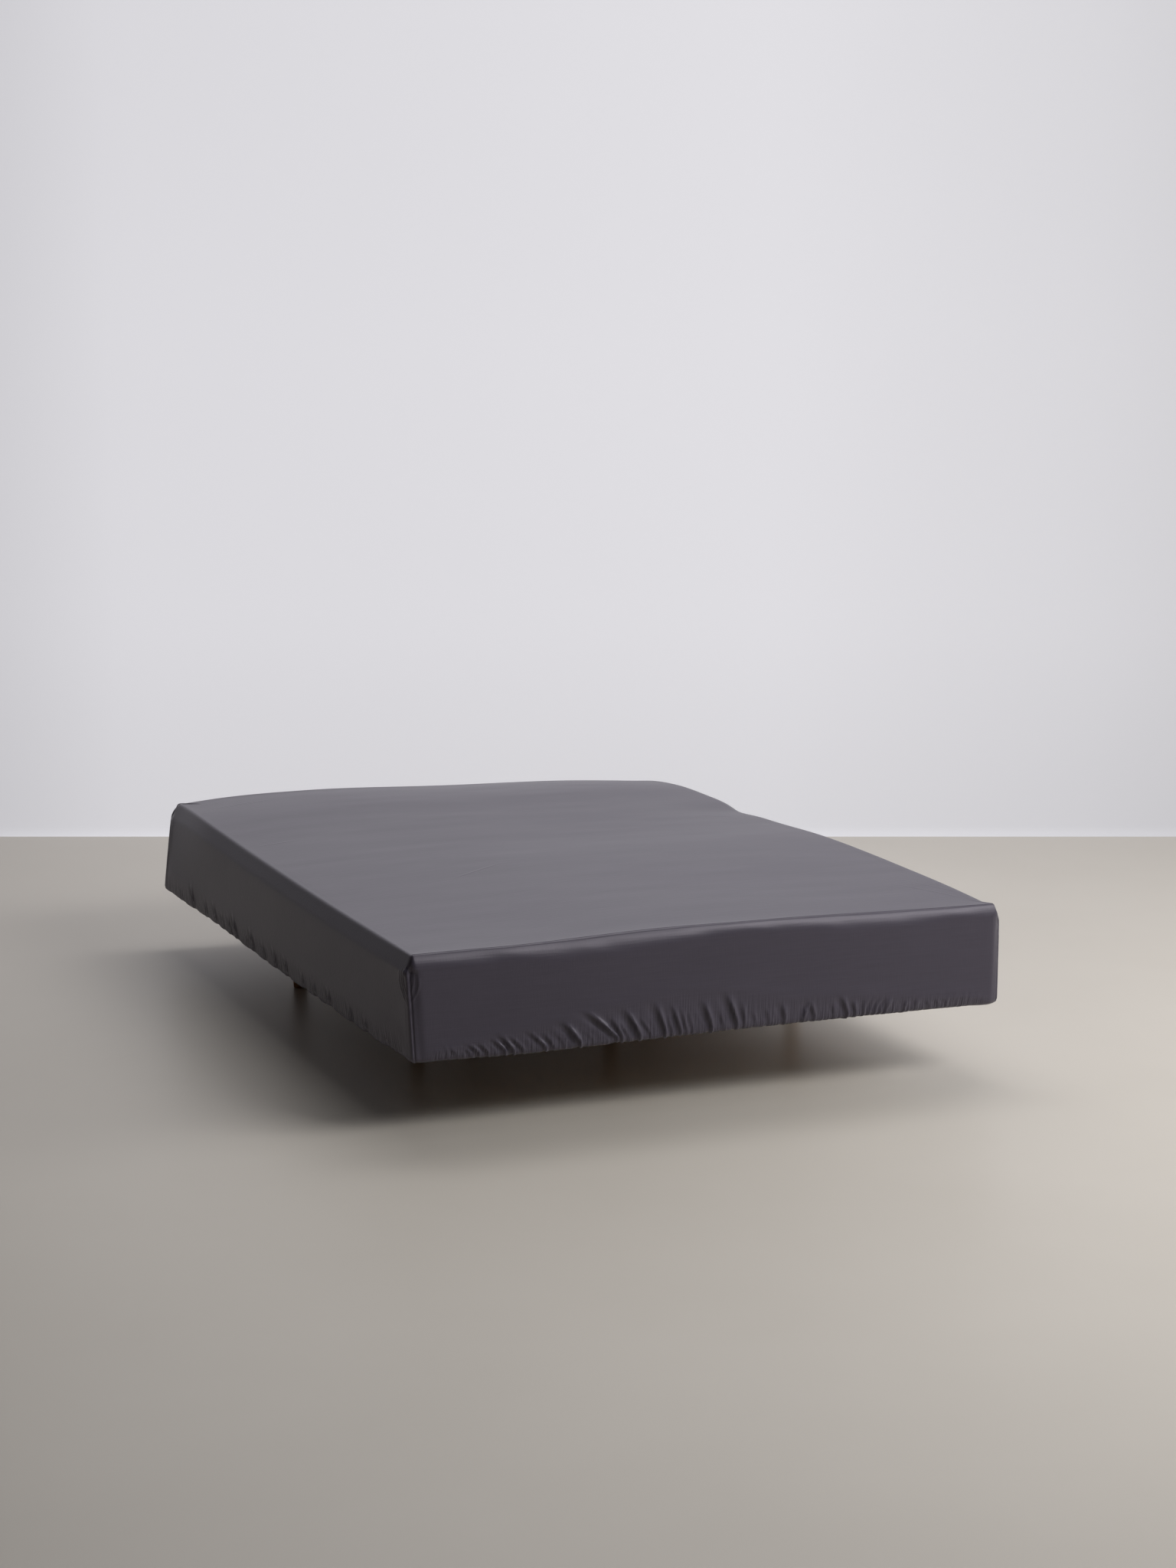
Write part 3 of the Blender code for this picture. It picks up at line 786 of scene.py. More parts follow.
def band_ring(around, part):
    """A ring of the walls' gathered band: part runs from 0, above the lower turn, to 1, at its top."""
    rise = BAND_HEIGHT * part
    points = around.outline(0.0, CORNER_RADIUS)
    z = hem_height(around, points, (1.0 - part) ** 2) + LOWER_RADIUS + rise
    relief = gather_relief(around, rise) + corner_relief(around, top_height(*points.T) - z)
    ring = outward_ring(shifted(points, around.outward, z), around.outward, z, relief)
    gathered = np.clip(1.0 - rise / around.drawn, 0.0, 1.0) * around.fade
    return ring, around.flat(LOWER_RADIUS * math.pi / 2 + rise), gathered


def wall_ring(around, part):
    """A ring of the plain walls: part runs from 0, at the gathered band, to 1, at the rolled top edge."""
    points = around.outline(0.0, CORNER_RADIUS)
    low = hem_height(around, points, 0.0) + LOWER_RADIUS
    top = top_height(*points.T)
    crest = top - top_radius(points, around.outward)
    z = low + BAND_HEIGHT + (crest - low - BAND_HEIGHT) * part
    relief = drawn_in(around, z - low) + corner_relief(around, top - z)
    ring = outward_ring(shifted(points, around.outward, z), around.outward, z, relief)
    return ring, around.flat(z - SHEET_LOW), np.zeros(len(z))


def edge_ring(around, part):
    """A ring on the rolled top edge: part runs from 0, on the wall, to 1, on the top."""
    turn = 1.0 - (1.0 - part) ** EDGE_CROWDING
    points, z, tilt = edge_points(around, turn, 0.0, 0.0)
    relief = corner_relief(around, top_height(*points.T) - z)
    slanted = points[:, 0] + RIPPLE_SLANT * turn
    ripple = soft_noise(slanted, points[:, 1], RIPPLE_PITCH, RIPPLE_SEED) * math.sin(math.pi * turn)
    relief = relief + BAND_RIPPLE * foot_share(around.outward) * ripple
    ring = outward_ring(points, around.outward, z, relief, tilt)
    return ring, around.flat(z - SHEET_LOW), np.zeros(len(z))


def rim_ring(around, reach):
    """A ring on the top panel, a reach in from where the rolled edge ends."""
    start = edge_points(around, 1.0, 0.0, 0.0)[0]
    inward = around.outline(TOP_INSET, 0.0) - start
    points = start + inward / np.linalg.norm(inward, axis=1)[:, None] * reach
    relief = top_relief(*points.T) * smoothstep(reach / RIM_REACHES[-1]) + step_relief(around, reach)
    z = top_height(*points.T) + relief
    return np.column_stack([points, z]), around.flat(DEPTH + reach), np.zeros(len(z))


def pad_lower_ring(around, turn):
    """A ring of the mattress's rounded lower edge."""
    bend = math.pi / 2 * turn
    radius = LOWER_CORNER_RADIUS + (CORNER_RADIUS - LOWER_CORNER_RADIUS) * turn
    points = around.outline(MATTRESS_INSET + LOWER_RADIUS * (1.0 - math.sin(bend)), radius)
    z = np.full(len(points), MATTRESS_LOW + LOWER_RADIUS * (1.0 - math.cos(bend)))
    return np.column_stack([shifted(points, around.outward, z), z]), around.flat(0.0), np.zeros(len(z))


def pad_edge_ring(around, turn):
    """A ring of the mattress's top edge, which the sheet's follows."""
    points, z, _ = edge_points(around, turn, MATTRESS_INSET, MATTRESS_DROP)
    return np.column_stack([points, z]), around.flat(0.0), np.zeros(len(z))


class Cloth:
    """A mesh of closed rings, the lowest first, with a map in metres and how gathered its points are."""

    def __init__(self):
        self.points = []
        self.map = []
        self.gathered = []
        self.faces = []
        self.count = 0
        self.top = None
        self.around = None

    def add(self, points, flat, gathered):
        start = self.count
        self.points.append(points)
        self.map.append(flat)
        self.gathered.append(gathered)
        self.count += len(points)
        return start + np.arange(len(points))

    def strip(self, near, far):
        """Faces between two rows that run the same way. Where one has fewer points, faces fan from them."""
        steps = max(len(near), len(far)) - 1
        near_at, far_at = (
            [(2 * k * (len(row) - 1) + steps) // (2 * steps) for k in range(steps + 1)]
            for row in (near, far)
        )
        for k in range(steps):
            corners = [near[near_at[k]], near[near_at[k + 1]], far[far_at[k + 1]], far[far_at[k]]]
            self.faces.append(tuple(dict.fromkeys(int(corner) for corner in corners)))

    def bridge(self, lower, below, upper, above):
        """Faces between two rings, whose steps may be split differently."""
        low = high = 0
        for fine, coarse in zip(below.steps, above.steps):
            near = [lower[(low + k) % len(lower)] for k in range(fine + 1)]
            far = [upper[(high + k) % len(upper)] for k in range(coarse + 1)]
            self.strip(near, far)
            low += fine
            high += coarse

    def bridge_rows(self, lower, upper, patch, rows):
        """Faces between two rings of equal steps. The places in patch have rows of points between them."""
        between = {place: [row[k] for row in rows] for k, place in enumerate(patch)}
        for place in range(len(lower)):
            after = (place + 1) % len(lower)
            left = [lower[place], *between.get(place, ()), upper[place]]
            right = [lower[after], *between.get(after, ()), upper[after]]
            self.strip(right, left)

    def climb(self, around, ring, parts, patch=(), rows=0):
        """Adds rings at the parts of a stretch, each joined to the last. A patch has rows between them."""
        at = 0.0
        for part in parts:
            upper = self.add(*ring(around, part))
            if self.around is around and rows:
                between = []
                for row in range(1, rows + 1):
                    made = ring(around, at + (part - at) * row / (rows + 1))
                    between.append(self.add(*(values[patch] for values in made)))
                self.bridge_rows(self.top, upper, patch, between)
            elif self.around is not None:
                self.bridge(self.top, self.around, upper, around)
            self.top, self.around, at = upper, around, part

    def panel(self, ring, heights, turned=False):
        """The grid of the top or the bottom, joined to the ring round it. heights gives z at x, y."""
        made = len(self.faces)
        columns, rows = TOP_SPANS
        xs = np.linspace(-WIDTH / 2 + TOP_INSET, WIDTH / 2 - TOP_INSET, columns + 1)
        ys = np.linspace(-LENGTH / 2 + TOP_INSET, LENGTH / 2 - TOP_INSET, rows + 1)
        x, y = (grid.ravel() for grid in np.meshgrid(xs, ys))
        points = np.column_stack([x, y, heights(x, y)])
        grid = self.add(points, np.column_stack([x, y]), np.zeros(len(x))).reshape(rows + 1, columns + 1)
        for row in range(rows):
            self.strip(grid[row], grid[row + 1])
        partner = []
        for border in (grid[0], grid[:, -1], grid[-1][::-1], grid[::-1, 0]):
            partner += list(border) + [border[-1]] * (CORNER_STEPS - 1)
        for step in range(len(ring)):
            after = (step + 1) % len(ring)
            corners = (ring[step], ring[after], partner[after], partner[step])
            self.faces.append(tuple(dict.fromkeys(int(corner) for corner in corners)))
        if turned:
            self.faces[made:] = [tuple(reversed(face)) for face in self.faces[made:]]

    def mesh(self, name):
        mesh = bpy.data.meshes.new(name)
        mesh.from_pydata(np.concatenate(self.points).tolist(), [], self.faces)
        flat = np.concatenate(self.map)
        corners = np.zeros(len(mesh.loops), int)
        mesh.loops.foreach_get("vertex_index", corners)
        layer = mesh.uv_layers.new(name="cloth")
        layer.data.foreach_set("uv", flat[corners].astype(np.float32).ravel())
        gathered = mesh.attributes.new("gathered", "FLOAT", "POINT")
        gathered.data.foreach_set("value", np.concatenate(self.gathered).astype(np.float32))
        mesh.shade_smooth()
        return mesh


def add_piece(name, mesh, finish):
    thing = bpy.data.objects.new(name, mesh)
    mesh.materials.append(finish)
    bpy.context.scene.collection.objects.link(thing)
    return thing


def steps_up(count):
    return np.linspace(0.0, 1.0, count + 1)[1:]


def build_sheet(finish):
    """The sheet's outer surface, ring by ring, thickened inwards."""
    cloth = Cloth()
    fine, wall, plain = Round(hem_split), Round(wall_split), Round(whole)
    foot = np.flatnonzero(fine.on_side(FOOT))[1:-1]
    near = np.flatnonzero(
        ((wall.side == LEFT) & (wall.straight > 1.0 - NEAR_SPANS / TOP_SPANS[1]))
        | ((wall.side == FOOT) & (wall.straight < 1.0 / TOP_SPANS[0]))
    )
    cloth.climb(fine, hem_ring, np.linspace(0.0, 1.0, UNDER_STEPS + 1))
    cloth.climb(fine, lower_ring, steps_up(LOWER_TURN_STEPS))
    cloth.climb(fine, band_ring, steps_up(BAND_STEPS), foot, FOOT_ROWS)
    cloth.climb(wall, wall_ring, steps_up(WALL_STEPS), near, NEAR_ROWS)
    cloth.climb(wall, edge_ring, steps_up(EDGE_STEPS), near, NEAR_ROWS)
    cloth.climb(plain, rim_ring, RIM_REACHES)
    cloth.panel(cloth.top, lambda x, y: top_height(x, y) + top_relief(x, y))
    sheet = add_piece("sheet_cloth", cloth.mesh("sheet_cloth"), finish)
    thickness = sheet.modifiers.new("cloth", "SOLIDIFY")
    thickness.thickness = CLOTH
    thickness.offset = -1.0
    return sheet


def build_mattress(finish):
    """The mattress inside the sheet, a little smaller, with a rounded lower edge and a flat underside."""
    pad = Cloth()
    around = Round(whole)
    pad.climb(around, pad_lower_ring, np.linspace(0.0, 1.0, LOWER_TURN_STEPS + 1))
    first = np.arange(len(around.turn))
    pad.climb(around, pad_edge_ring, np.linspace(0.0, 1.0, PAD_EDGE_STEPS + 1))
    pad.panel(pad.top, lambda x, y: top_height(x, y) - MATTRESS_DROP)
    pad.panel(first, lambda x, y: np.full(x.shape, MATTRESS_LOW), turned=True)
    return add_piece("mattress_pad", pad.mesh("mattress_pad"), finish)


def link(tree, value, place):
    """Gives a node's input a number, a colour or another node's output."""
    if isinstance(value, Value):
        tree.links.new(value.socket, place)
    else:
        place.default_value = value


class Value:
    """A number that varies over a surface. Sums and products of it add Math nodes to its material."""

    def __init__(self, tree, socket):
        self.tree = tree
        self.socket = socket

    def joined(self, operation, first, second):
        node = self.tree.nodes.new("ShaderNodeMath")
        node.operation = operation
        link(self.tree, first, node.inputs[0])
        link(self.tree, second, node.inputs[1])
        return Value(self.tree, node.outputs[0])

    def __add__(self, other):
        return self.joined("ADD", self, other)

    def __sub__(self, other):
        return self.joined("SUBTRACT", self, other)

    def __mul__(self, other):
        return self.joined("MULTIPLY", self, other)

    def __pow__(self, other):
        return self.joined("POWER", self, other)

    def __rpow__(self, other):
        return self.joined("POWER", other, self)

    __radd__ = __add__
    __rmul__ = __mul__


class Finish:
    """A material, and the nodes of its pattern."""

    def __init__(self, name, roughness, **constants):
        self.material = bpy.data.materials.new(name)
        self.material.use_nodes = True
        self.tree = self.material.node_tree
        self.shader = self.tree.nodes["Principled BSDF"]
        self.shader.inputs["Roughness"].default_value = roughness
        for key, value in constants.items():
            self.shader.inputs[key.replace("_", " ").title()].default_value = value

    def node(self, kind, settings=None, output=0, **values):
        """Adds a node: its settings first, then its inputs by name. Gives back one of its outputs."""
        node = self.tree.nodes.new(kind)
        for name, value in (settings or {}).items():
            if name == "stops":
                ramp = node.color_ramp.elements
                while len(ramp) < len(value):
                    ramp.new(0.5)
                for stop, (place, colour) in zip(ramp, value):
                    stop.position = place
                    stop.color = (*colour, 1.0)
            else:
                setattr(node, name, value)
        for name, value in values.items():
            place = next(s for s in node.inputs if s.identifier.lower() == name and s.enabled)
            link(self.tree, value, place)
        return Value(self.tree, node.outputs[output])

    def place(self, scale, source="Object"):
        """Object coordinates or the cloth's own map, stretched by scale."""
        coordinates = self.tree.nodes.new("ShaderNodeTexCoord").outputs[source]
        return self.node("ShaderNodeMapping", vector=Value(self.tree, coordinates), scale=scale)

    def noise(self, scale, detail=2.0, roughness=0.5, source="Object"):
        """Uneven values about 0.5. scale gives the grains a metre along each axis."""
        vector = self.place(scale, source)
        return self.node("ShaderNodeTexNoise", vector=vector, scale=1.0, detail=detail, roughness=roughness)

    def attribute(self, name):
        """A number kept at each point of the mesh."""
        return self.node("ShaderNodeAttribute", {"attribute_name": name}, output=2)

    def parts(self, kind, output):
        """The x, y and z of a node's output, such as its coordinates or its normal."""
        split = self.tree.nodes.new("ShaderNodeSeparateXYZ")
        link(self.tree, self.node(kind, output=output), split.inputs[0])
        return [Value(self.tree, socket) for socket in split.outputs]

    def falloff(self, squared):
        """1 where squared is 0, and soon 0 away from it."""
        return math.e ** (squared * -1.0)

    def ramp(self, value, *stops):
        return self.node("ShaderNodeValToRGB", {"stops": stops}, fac=value)

    def mixed(self, share, first, second):
        node = self.tree.nodes.new("ShaderNodeMix")
        node.data_type = "RGBA"
        link(self.tree, share, node.inputs["Factor"])
        for name, colour in (("A", first), ("B", second)):
            place = next(s for s in node.inputs if s.name == name and s.type == "RGBA")
            link(self.tree, colour if isinstance(colour, Value) else (*colour, 1.0), place)
        return Value(self.tree, next(s for s in node.outputs if s.type == "RGBA"))

    def colour(self, value):
        link(self.tree, value, self.shader.inputs["Base Color"])

    def roughness(self, value):
        link(self.tree, value, self.shader.inputs["Roughness"])

    def bump(self, height, distance, strength=1.0):
        node = self.tree.nodes.new("ShaderNodeBump")
        node.inputs["Strength"].default_value = strength
        node.inputs["Distance"].default_value = distance
        link(self.tree, height, node.inputs["Height"])
        self.tree.links.new(node.outputs[0], self.shader.inputs["Normal"])


def sateen():
    """Dark grey cotton sateen: a soft sheen, faint slubs across the width, a fine warp and creases."""
    finish = Finish("dark_grey_sateen", 0.5, sheen_weight=0.16, sheen_roughness=0.42)
    finish.shader.inputs["Sheen Tint"].default_value = (0.95, 0.92, 1.0, 1.0)
    finish.shader.inputs["Specular Tint"].default_value = (0.97, 0.92, 1.0, 1.0)
    clouds = finish.noise((1.6, 2.2, 2.0), 3.0)
    slubs = finish.noise((9.0, 220.0, 220.0), 2.0)
    warp = finish.noise((900.0, 30.0, 30.0), 1.0)
    tone = clouds * 0.5 + slubs * 0.35 + warp * 0.15
    finish.colour(finish.ramp(tone, (0.30, (0.040, 0.0355, 0.050)), (0.70, (0.053, 0.0470, 0.065))))
    finish.roughness(0.36 + 0.12 * clouds + 0.06 * slubs)
    pleats = finish.noise(PLEAT_GRAIN, 2.0, source="UV") * finish.attribute("gathered")
    height = 0.00024 * slubs + 0.00016 * warp + PLEAT_HEIGHT * pleats
    east, north, _ = finish.parts("ShaderNodeTexCoord", "Object")
    for x, y, end_x, end_y, width, lift in TOP_CREASES:
        length = math.hypot(end_x - x, end_y - y)
        step_x, step_y = (end_x - x) / length, (end_y - y) / length
        beyond_x, beyond_y = east - (x + end_x) / 2, north - (y + end_y) / 2
        run = (beyond_x * step_x + beyond_y * step_y) * (2.0 / length)
        apart = (beyond_y * step_x - beyond_x * step_y) * (1.0 / width)
        height = height + lift * finish.falloff(apart**2.0 + run**4.0)
    finish.bump(height, 1.0)
    return finish.material


def ticking():
    """Off-white woven ticking with a fine twill."""
    finish = Finish("off_white_ticking", 0.85, sheen_weight=0.1)
    twill = finish.node(
        "ShaderNodeTexWave",
        {"bands_direction": "DIAGONAL"},
        vector=finish.place((1.0, 1.0, 1.0)),
        scale=160.0,
        distortion=0.4,
    )
    soil = finish.noise((7.0, 7.0, 7.0), 3.0)
    tone = soil * 0.7 + twill * 0.3
    finish.colour(finish.ramp(tone, (0.3, (0.56, 0.54, 0.50)), (0.75, (0.74, 0.72, 0.68))))
    finish.bump(twill, 0.0006, 0.5)
    return finish.material


def leg_wood():
    """Oiled orange-brown wood with its grain along the leg."""
    finish = Finish("oiled_leg_wood", 0.45, coat_weight=0.15, coat_roughness=0.3)
    grain = finish.noise((90.0, 90.0, 6.0), 4.0, 0.6)
    pores = finish.noise((520.0, 520.0, 24.0), 2.0)
    tone = grain * 0.8 + pores * 0.2
    dark, middle, light = (0.27, 0.105, 0.035), (0.44, 0.195, 0.070), (0.55, 0.27, 0.11)
    finish.colour(finish.ramp(tone, (0.30, dark), (0.52, middle), (0.72, light)))
    finish.roughness(0.38 + 0.16 * grain)
    finish.bump(pores * 0.5 + grain * 0.5, 0.0005, 0.4)
    return finish.material


def board_wood():
    """Sanded plywood: a long grain on its faces and darker plies on its edges."""
    finish = Finish("sanded_plywood", 0.6)
    grain = finish.noise((34.0, 2.4, 34.0), 5.0, 0.6)
    pores = finish.noise((340.0, 12.0, 340.0), 2.0)
    face = finish.ramp(grain * 0.8 + pores * 0.2, (0.32, (0.32, 0.20, 0.11)), (0.70, (0.50, 0.34, 0.20)))
    plies = finish.node(
        "ShaderNodeTexWave", {"bands_direction": "Z"}, vector=finish.place((1.0, 1.0, 1.0)), scale=33.0
    )
    edge = finish.ramp(plies, (0.35, (0.17, 0.10, 0.05)), (0.65, (0.46, 0.32, 0.19)))
    upright = finish.parts("ShaderNodeNewGeometry", "Normal")[2]
    finish.colour(finish.mixed(upright * upright, edge, face))
    finish.bump(grain * 0.6 + pores * 0.4, 0.0006, 0.4)
    return finish.material


def thread():
    """Dark sewing thread with a slight twist."""
    finish = Finish("dark_thread", 0.6, sheen_weight=0.2)
    twist = finish.noise((1500.0, 1500.0, 1500.0), 1.0)
    finish.colour(finish.ramp(twist, (0.3, (0.060, 0.058, 0.066)), (0.7, (0.105, 0.100, 0.115))))
    finish.bump(twist, 0.0002, 0.5)
    return finish.material


def turned_mesh(name, profile, sides, x, y):
    """A turned solid from (radius, height) rows, the lowest first, closed at both ends."""
    angles = np.linspace(0.0, 2 * math.pi, sides, endpoint=False)
    circle = np.stack([np.cos(angles), np.sin(angles)], axis=1)
    bm = bmesh.new()
    rings = []
    for radius, z in profile:
        rings.append([bm.verts.new((x + radius * cx, y + radius * cy, z)) for cx, cy in circle])
    for lower, upper in zip(rings, rings[1:]):
        for step in range(sides):
            after = (step + 1) % sides
            bm.faces.new((lower[step], lower[after], upper[after], upper[step]))
    for ring, z, turned in ((rings[0], profile[0][1], True), (rings[-1], profile[-1][1], False)):
        pole = bm.verts.new((x, y, z))
        for step in range(sides):
            after = (step + 1) % sides
            corners = (ring[step], ring[after], pole)
            bm.faces.new(reversed(corners) if turned else corners)
    mesh = bpy.data.meshes.new(name)
    bm.to_mesh(mesh)
    bm.free()
    mesh.shade_smooth()
    mesh.set_sharp_from_angle(angle=LEG_SHARP)
    return mesh


def build_leg(number, finish):
    """A turned leg on its solid's axis, with eased edges at the foot and the top."""
    low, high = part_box(f"leg_{number}")
    x, y = (low.x + high.x) / 2, (low.y + high.y) / 2
    profile = []
    for angle in np.linspace(0.0, math.pi / 2, LEG_EDGE_STEPS + 1):
        radius = LEG_FOOT_RADIUS - LEG_EDGE * (1 - math.sin(angle))
        profile.append((radius, LEG_EDGE * (1 - math.cos(angle))))
    for part in np.linspace(*LEG_RINGS):
        radius = LEG_FOOT_RADIUS + (LEG_TOP_RADIUS - LEG_FOOT_RADIUS) * part
        profile.append((radius, LEG_EDGE + (high.z - LEG_EDGE) * part))
    profile += [(LEG_TOP_RADIUS, high.z - LEG_EDGE / 2), (LEG_TOP_RADIUS - LEG_EDGE / 2, high.z)]
    name = f"turned_leg_{number}"
    leg = add_piece(name, turned_mesh(name, profile, LEG_SIDES, x, y), finish)
    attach(leg, "root")
    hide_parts(f"leg_{number}")


def stitch_tree(finish):
    """A node tree that lays one stitch at each step along a path of edges, and the values of its inputs."""
    tree = bpy.data.node_groups.new("stitches_along_hem", "GeometryNodeTree")
    sizes = (("Pitch", STITCH_PITCH), ("Length", STITCH_LENGTH), ("Radius", STITCH_RADIUS))
    tree.interface.new_socket("Path", in_out="INPUT", socket_type="NodeSocketGeometry")
    for name, _ in sizes:
        tree.interface.new_socket(name, in_out="INPUT", socket_type="NodeSocketFloat")
    tree.interface.new_socket("Seed", in_out="INPUT", socket_type="NodeSocketInt")
    tree.interface.new_socket("Thread", in_out="INPUT", socket_type="NodeSocketMaterial")
    tree.interface.new_socket("Stitches", in_out="OUTPUT", socket_type="NodeSocketGeometry")
    given = tree.nodes.new("NodeGroupInput").outputs

    def step(kind, output, settings=None, **links):
        node = tree.nodes.new(kind)
        for name, value in (settings or {}).items():
            setattr(node, name, value)
        for name, value in links.items():
            place = next(s for s in node.inputs if s.name == name.replace("_", " ") and s.enabled)
            if isinstance(value, bpy.types.NodeSocket):
                tree.links.new(value, place)
            else:
                place.default_value = value
        return node.outputs[output]

    path = step("GeometryNodeMeshToCurve", "Curve", Mesh=given["Path"])
    points_node = tree.nodes.new("GeometryNodeCurveToPoints")
    points_node.mode = "LENGTH"
    tree.links.new(path, points_node.inputs["Curve"])
    tree.links.new(given["Pitch"], points_node.inputs["Length"])
    ball = step("GeometryNodeMeshUVSphere", "Mesh", Segments=STITCH_SIDES, Rings=STITCH_RINGS, Radius=0.5)
    size = step("ShaderNodeCombineXYZ", 0, X=given["Radius"], Y=given["Radius"], Z=given["Length"])
    long_ball = step("GeometryNodeTransform", "Geometry", Geometry=ball, Scale=size)
    low, high = STITCH_SWING
    kind = {"data_type": "FLOAT"}
    swing = step("FunctionNodeRandomValue", 1, kind, Min=low, Max=high, Seed=given["Seed"])
    laid = step(
        "GeometryNodeInstanceOnPoints",
        "Instances",
        Points=points_node.outputs["Points"],
        Instance=long_ball,
        Rotation=points_node.outputs["Rotation"],
        Scale=swing,
    )
    real = step("GeometryNodeRealizeInstances", "Geometry", Geometry=laid)
    done = step("GeometryNodeSetMaterial", "Geometry", Geometry=real, Material=given["Thread"])
    tree.links.new(done, tree.nodes.new("NodeGroupOutput").inputs["Stitches"])
    return tree, {**dict(sizes), "Seed": STITCH_SEED, "Thread": finish}


def build_stitches(finish):
    """The row of stitches that holds the hem's fold, under the mattress."""
    around = Round(hem_split)
    part = (HEM_REACH - STITCH_REACH) / (HEM_REACH - LOWER_RADIUS)
    points = hem_ring(around, part)[0]
    count = len(points)
    path = bpy.data.meshes.new("stitch_path")
    path.from_pydata(points.tolist(), [(k, (k + 1) % count) for k in range(count)], [])
    line = bpy.data.objects.new("stitch_path", path)
    bpy.context.scene.collection.objects.link(line)
    tree, values = stitch_tree(finish)
    maker = line.modifiers.new("stitches", "NODES")
    maker.node_group = tree
    for item in tree.interface.items_tree:
        if item.in_out == "INPUT" and item.name in values:
            maker[item.identifier] = values[item.name]
    evaluated = line.evaluated_get(bpy.context.evaluated_depsgraph_get())
    mesh = bpy.data.meshes.new_from_object(evaluated)
    bpy.data.objects.remove(line)
    mesh.name = "hem_stitches"
    mesh.materials.clear()
    mesh.shade_smooth()
    return add_piece("hem_stitches", mesh, finish)


def beside(right, away, up):
    """A place given from the bed's middle as the camera sees it: to its right, further away, and up."""
    cosine, sine = math.cos(CAMERA_YAW), math.sin(CAMERA_YAW)
    return (right * cosine + away * sine, -right * sine + away * cosine, up)


def add_light(name, place, aim, size, watts, colour):
    data = bpy.data.lights.new(name, "AREA")
    data.shape = "RECTANGLE"
    data.size, data.size_y = size
    data.energy = watts
    data.color = colour
    light = bpy.data.objects.new(name, data)
    bpy.context.scene.collection.objects.link(light)
    light.location = place
    direction = Vector(aim) - Vector(place)
    light.rotation_euler = direction.to_track_quat("-Z", "Y").to_euler()


def stage_finish(name, colours, roughness):
    finish = Finish(name, roughness)
    patches = finish.noise((0.7, 0.7, 0.7), 4.0, 0.6)
    finish.colour(finish.ramp(patches, (0.3, colours[0]), (0.7, colours[1])))
    return finish


def backdrop_finish():
    """A pale wall that glows, from its own map of metres across and up. It is clear from behind."""
    finish = stage_finish("pale_backdrop", WALL_COLOURS, WALL_ROUGHNESS)
    finish.shader.inputs["Emission Strength"].default_value = WALL_BRIGHTNESS
    glows = []
    for metres, table in zip(finish.parts("ShaderNodeTexCoord", "UV"), (WALL_ACROSS, WALL_UP)):
        stops = [(0.5 + place / STAGE_SPAN, [part * share for part in WALL_GLOW]) for place, share in table]
        glows.append(finish.ramp(metres * (1.0 / STAGE_SPAN) + 0.5, *stops))
    across, up = glows
    both = finish.node("ShaderNodeVectorMath", {"operation": "MULTIPLY"}, vector=across, vector_001=up)
    link(finish.tree, both, finish.shader.inputs["Emission Color"])
    back = finish.node("ShaderNodeNewGeometry", output="Backfacing")
    clear = finish.node("ShaderNodeBsdfTransparent")
    wall = Value(finish.tree, finish.shader.outputs["BSDF"])
    one_sided = finish.node("ShaderNodeMixShader", fac=back, shader=wall, shader_001=clear)
    link(finish.tree, one_sided, finish.tree.nodes["Material Output"].inputs["Surface"])
    return finish


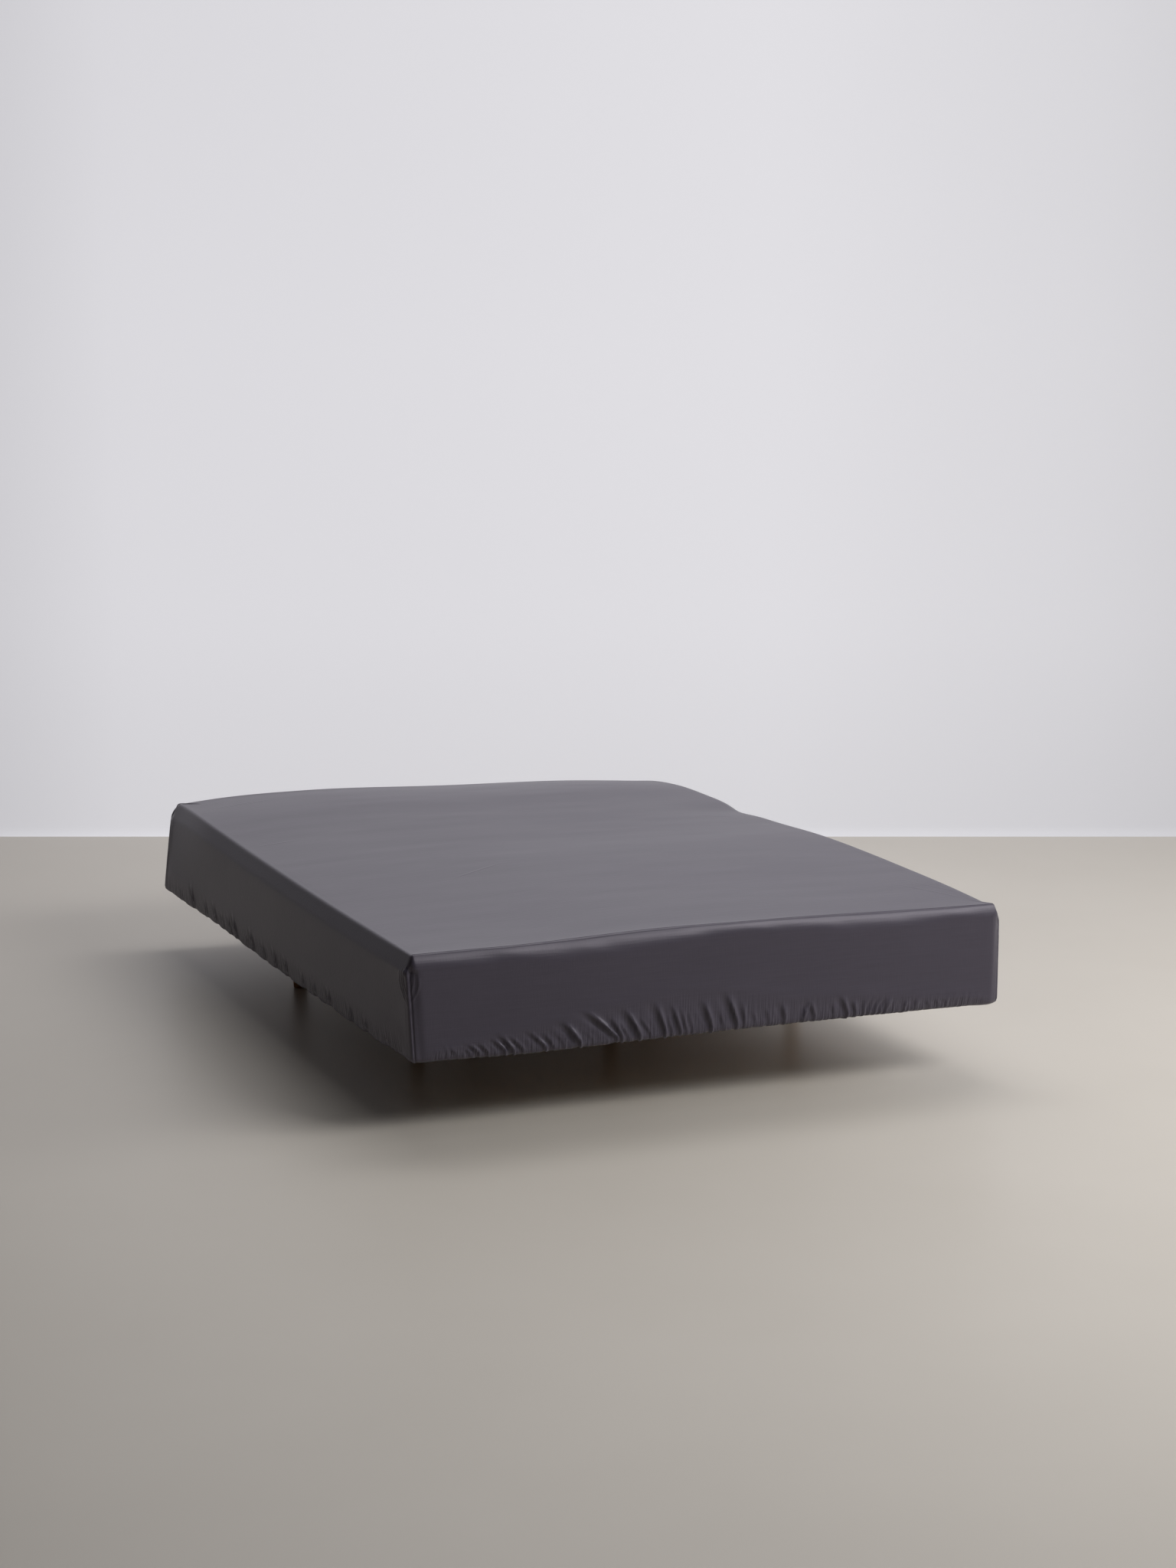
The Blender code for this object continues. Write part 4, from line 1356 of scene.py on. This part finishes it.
def add_stage():
    """A pale floor, and a plain pale backdrop behind the bed that rises from it over a small cove."""
    camera = Vector(CAMERA_PLACE)
    half = STAGE_SPAN / 2
    ground = [(away, 0.0) for away in FLOOR_REACH]
    profile = [(BACKDROP_AWAY - COVE_RADIUS, 0.0)]
    for angle in math.pi / 2 * steps_up(COVE_STEPS):
        away = BACKDROP_AWAY - COVE_RADIUS * (1 - math.sin(angle))
        profile.append((away, COVE_RADIUS * (1 - math.cos(angle))))
    profile.append((BACKDROP_AWAY, BACKDROP_HEIGHT))
    cosine, sine = math.cos(CAMERA_YAW), math.sin(CAMERA_YAW)
    floor = stage_finish("pale_floor", FLOOR_COLOURS, FLOOR_ROUGHNESS)
    floor.shader.inputs["Specular IOR Level"].default_value = FLOOR_GLOSS
    for name, rows, finish in (("floor", ground, floor), ("backdrop", profile, backdrop_finish())):
        points, flat = [], []
        for away, z in rows:
            for across in (-half, half):
                x = camera.x + away * sine + across * cosine
                y = camera.y + away * cosine - across * sine
                points.append((x, y, z))
                flat.append((across, z))
        faces = [(k, k + 1, k + 3, k + 2) for k in range(0, len(points) - 2, 2)]
        mesh = bpy.data.meshes.new(name)
        mesh.from_pydata(points, [], faces)
        layer = mesh.uv_layers.new(name="stage")
        for corner, entry in zip(mesh.loops, layer.data):
            entry.uv = flat[corner.vertex_index]
        mesh.shade_smooth()
        add_piece(name, mesh, finish.material)


def add_camera():
    data = bpy.data.cameras.new("camera")
    data.lens = CAMERA_LENS
    data.sensor_width = CAMERA_SENSOR
    camera = bpy.data.objects.new("camera", data)
    bpy.context.scene.collection.objects.link(camera)
    camera.location = CAMERA_PLACE
    camera.rotation_euler = (math.pi / 2 - CAMERA_DOWN, 0.0, -CAMERA_YAW)
    bpy.context.scene.camera = camera


def add_lights():
    for name, place, size, watts, colour in LIGHTS:
        add_light(name, beside(*place), LIGHTS_AIM, size, watts, colour)
    world = bpy.data.worlds.new("studio")
    bpy.context.scene.world = world
    world.use_nodes = True
    world.node_tree.nodes["Background"].inputs["Strength"].default_value = 0.0
    bpy.context.scene.view_settings.view_transform = "Standard"


add_camera()
add_stage()
add_lights()

sheet = build_sheet(sateen())
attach(sheet, "root")
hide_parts("fitted_sheet")

mattress = build_mattress(ticking())
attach(mattress, "root")
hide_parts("mattress")

stitches = build_stitches(thread())
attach(stitches, "root")

wood = leg_wood()
for number in range(1, LEG_COUNT + 1):
    build_leg(number, wood)

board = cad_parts["base_board"]
board.data.materials.clear()
board.data.materials.append(board_wood())
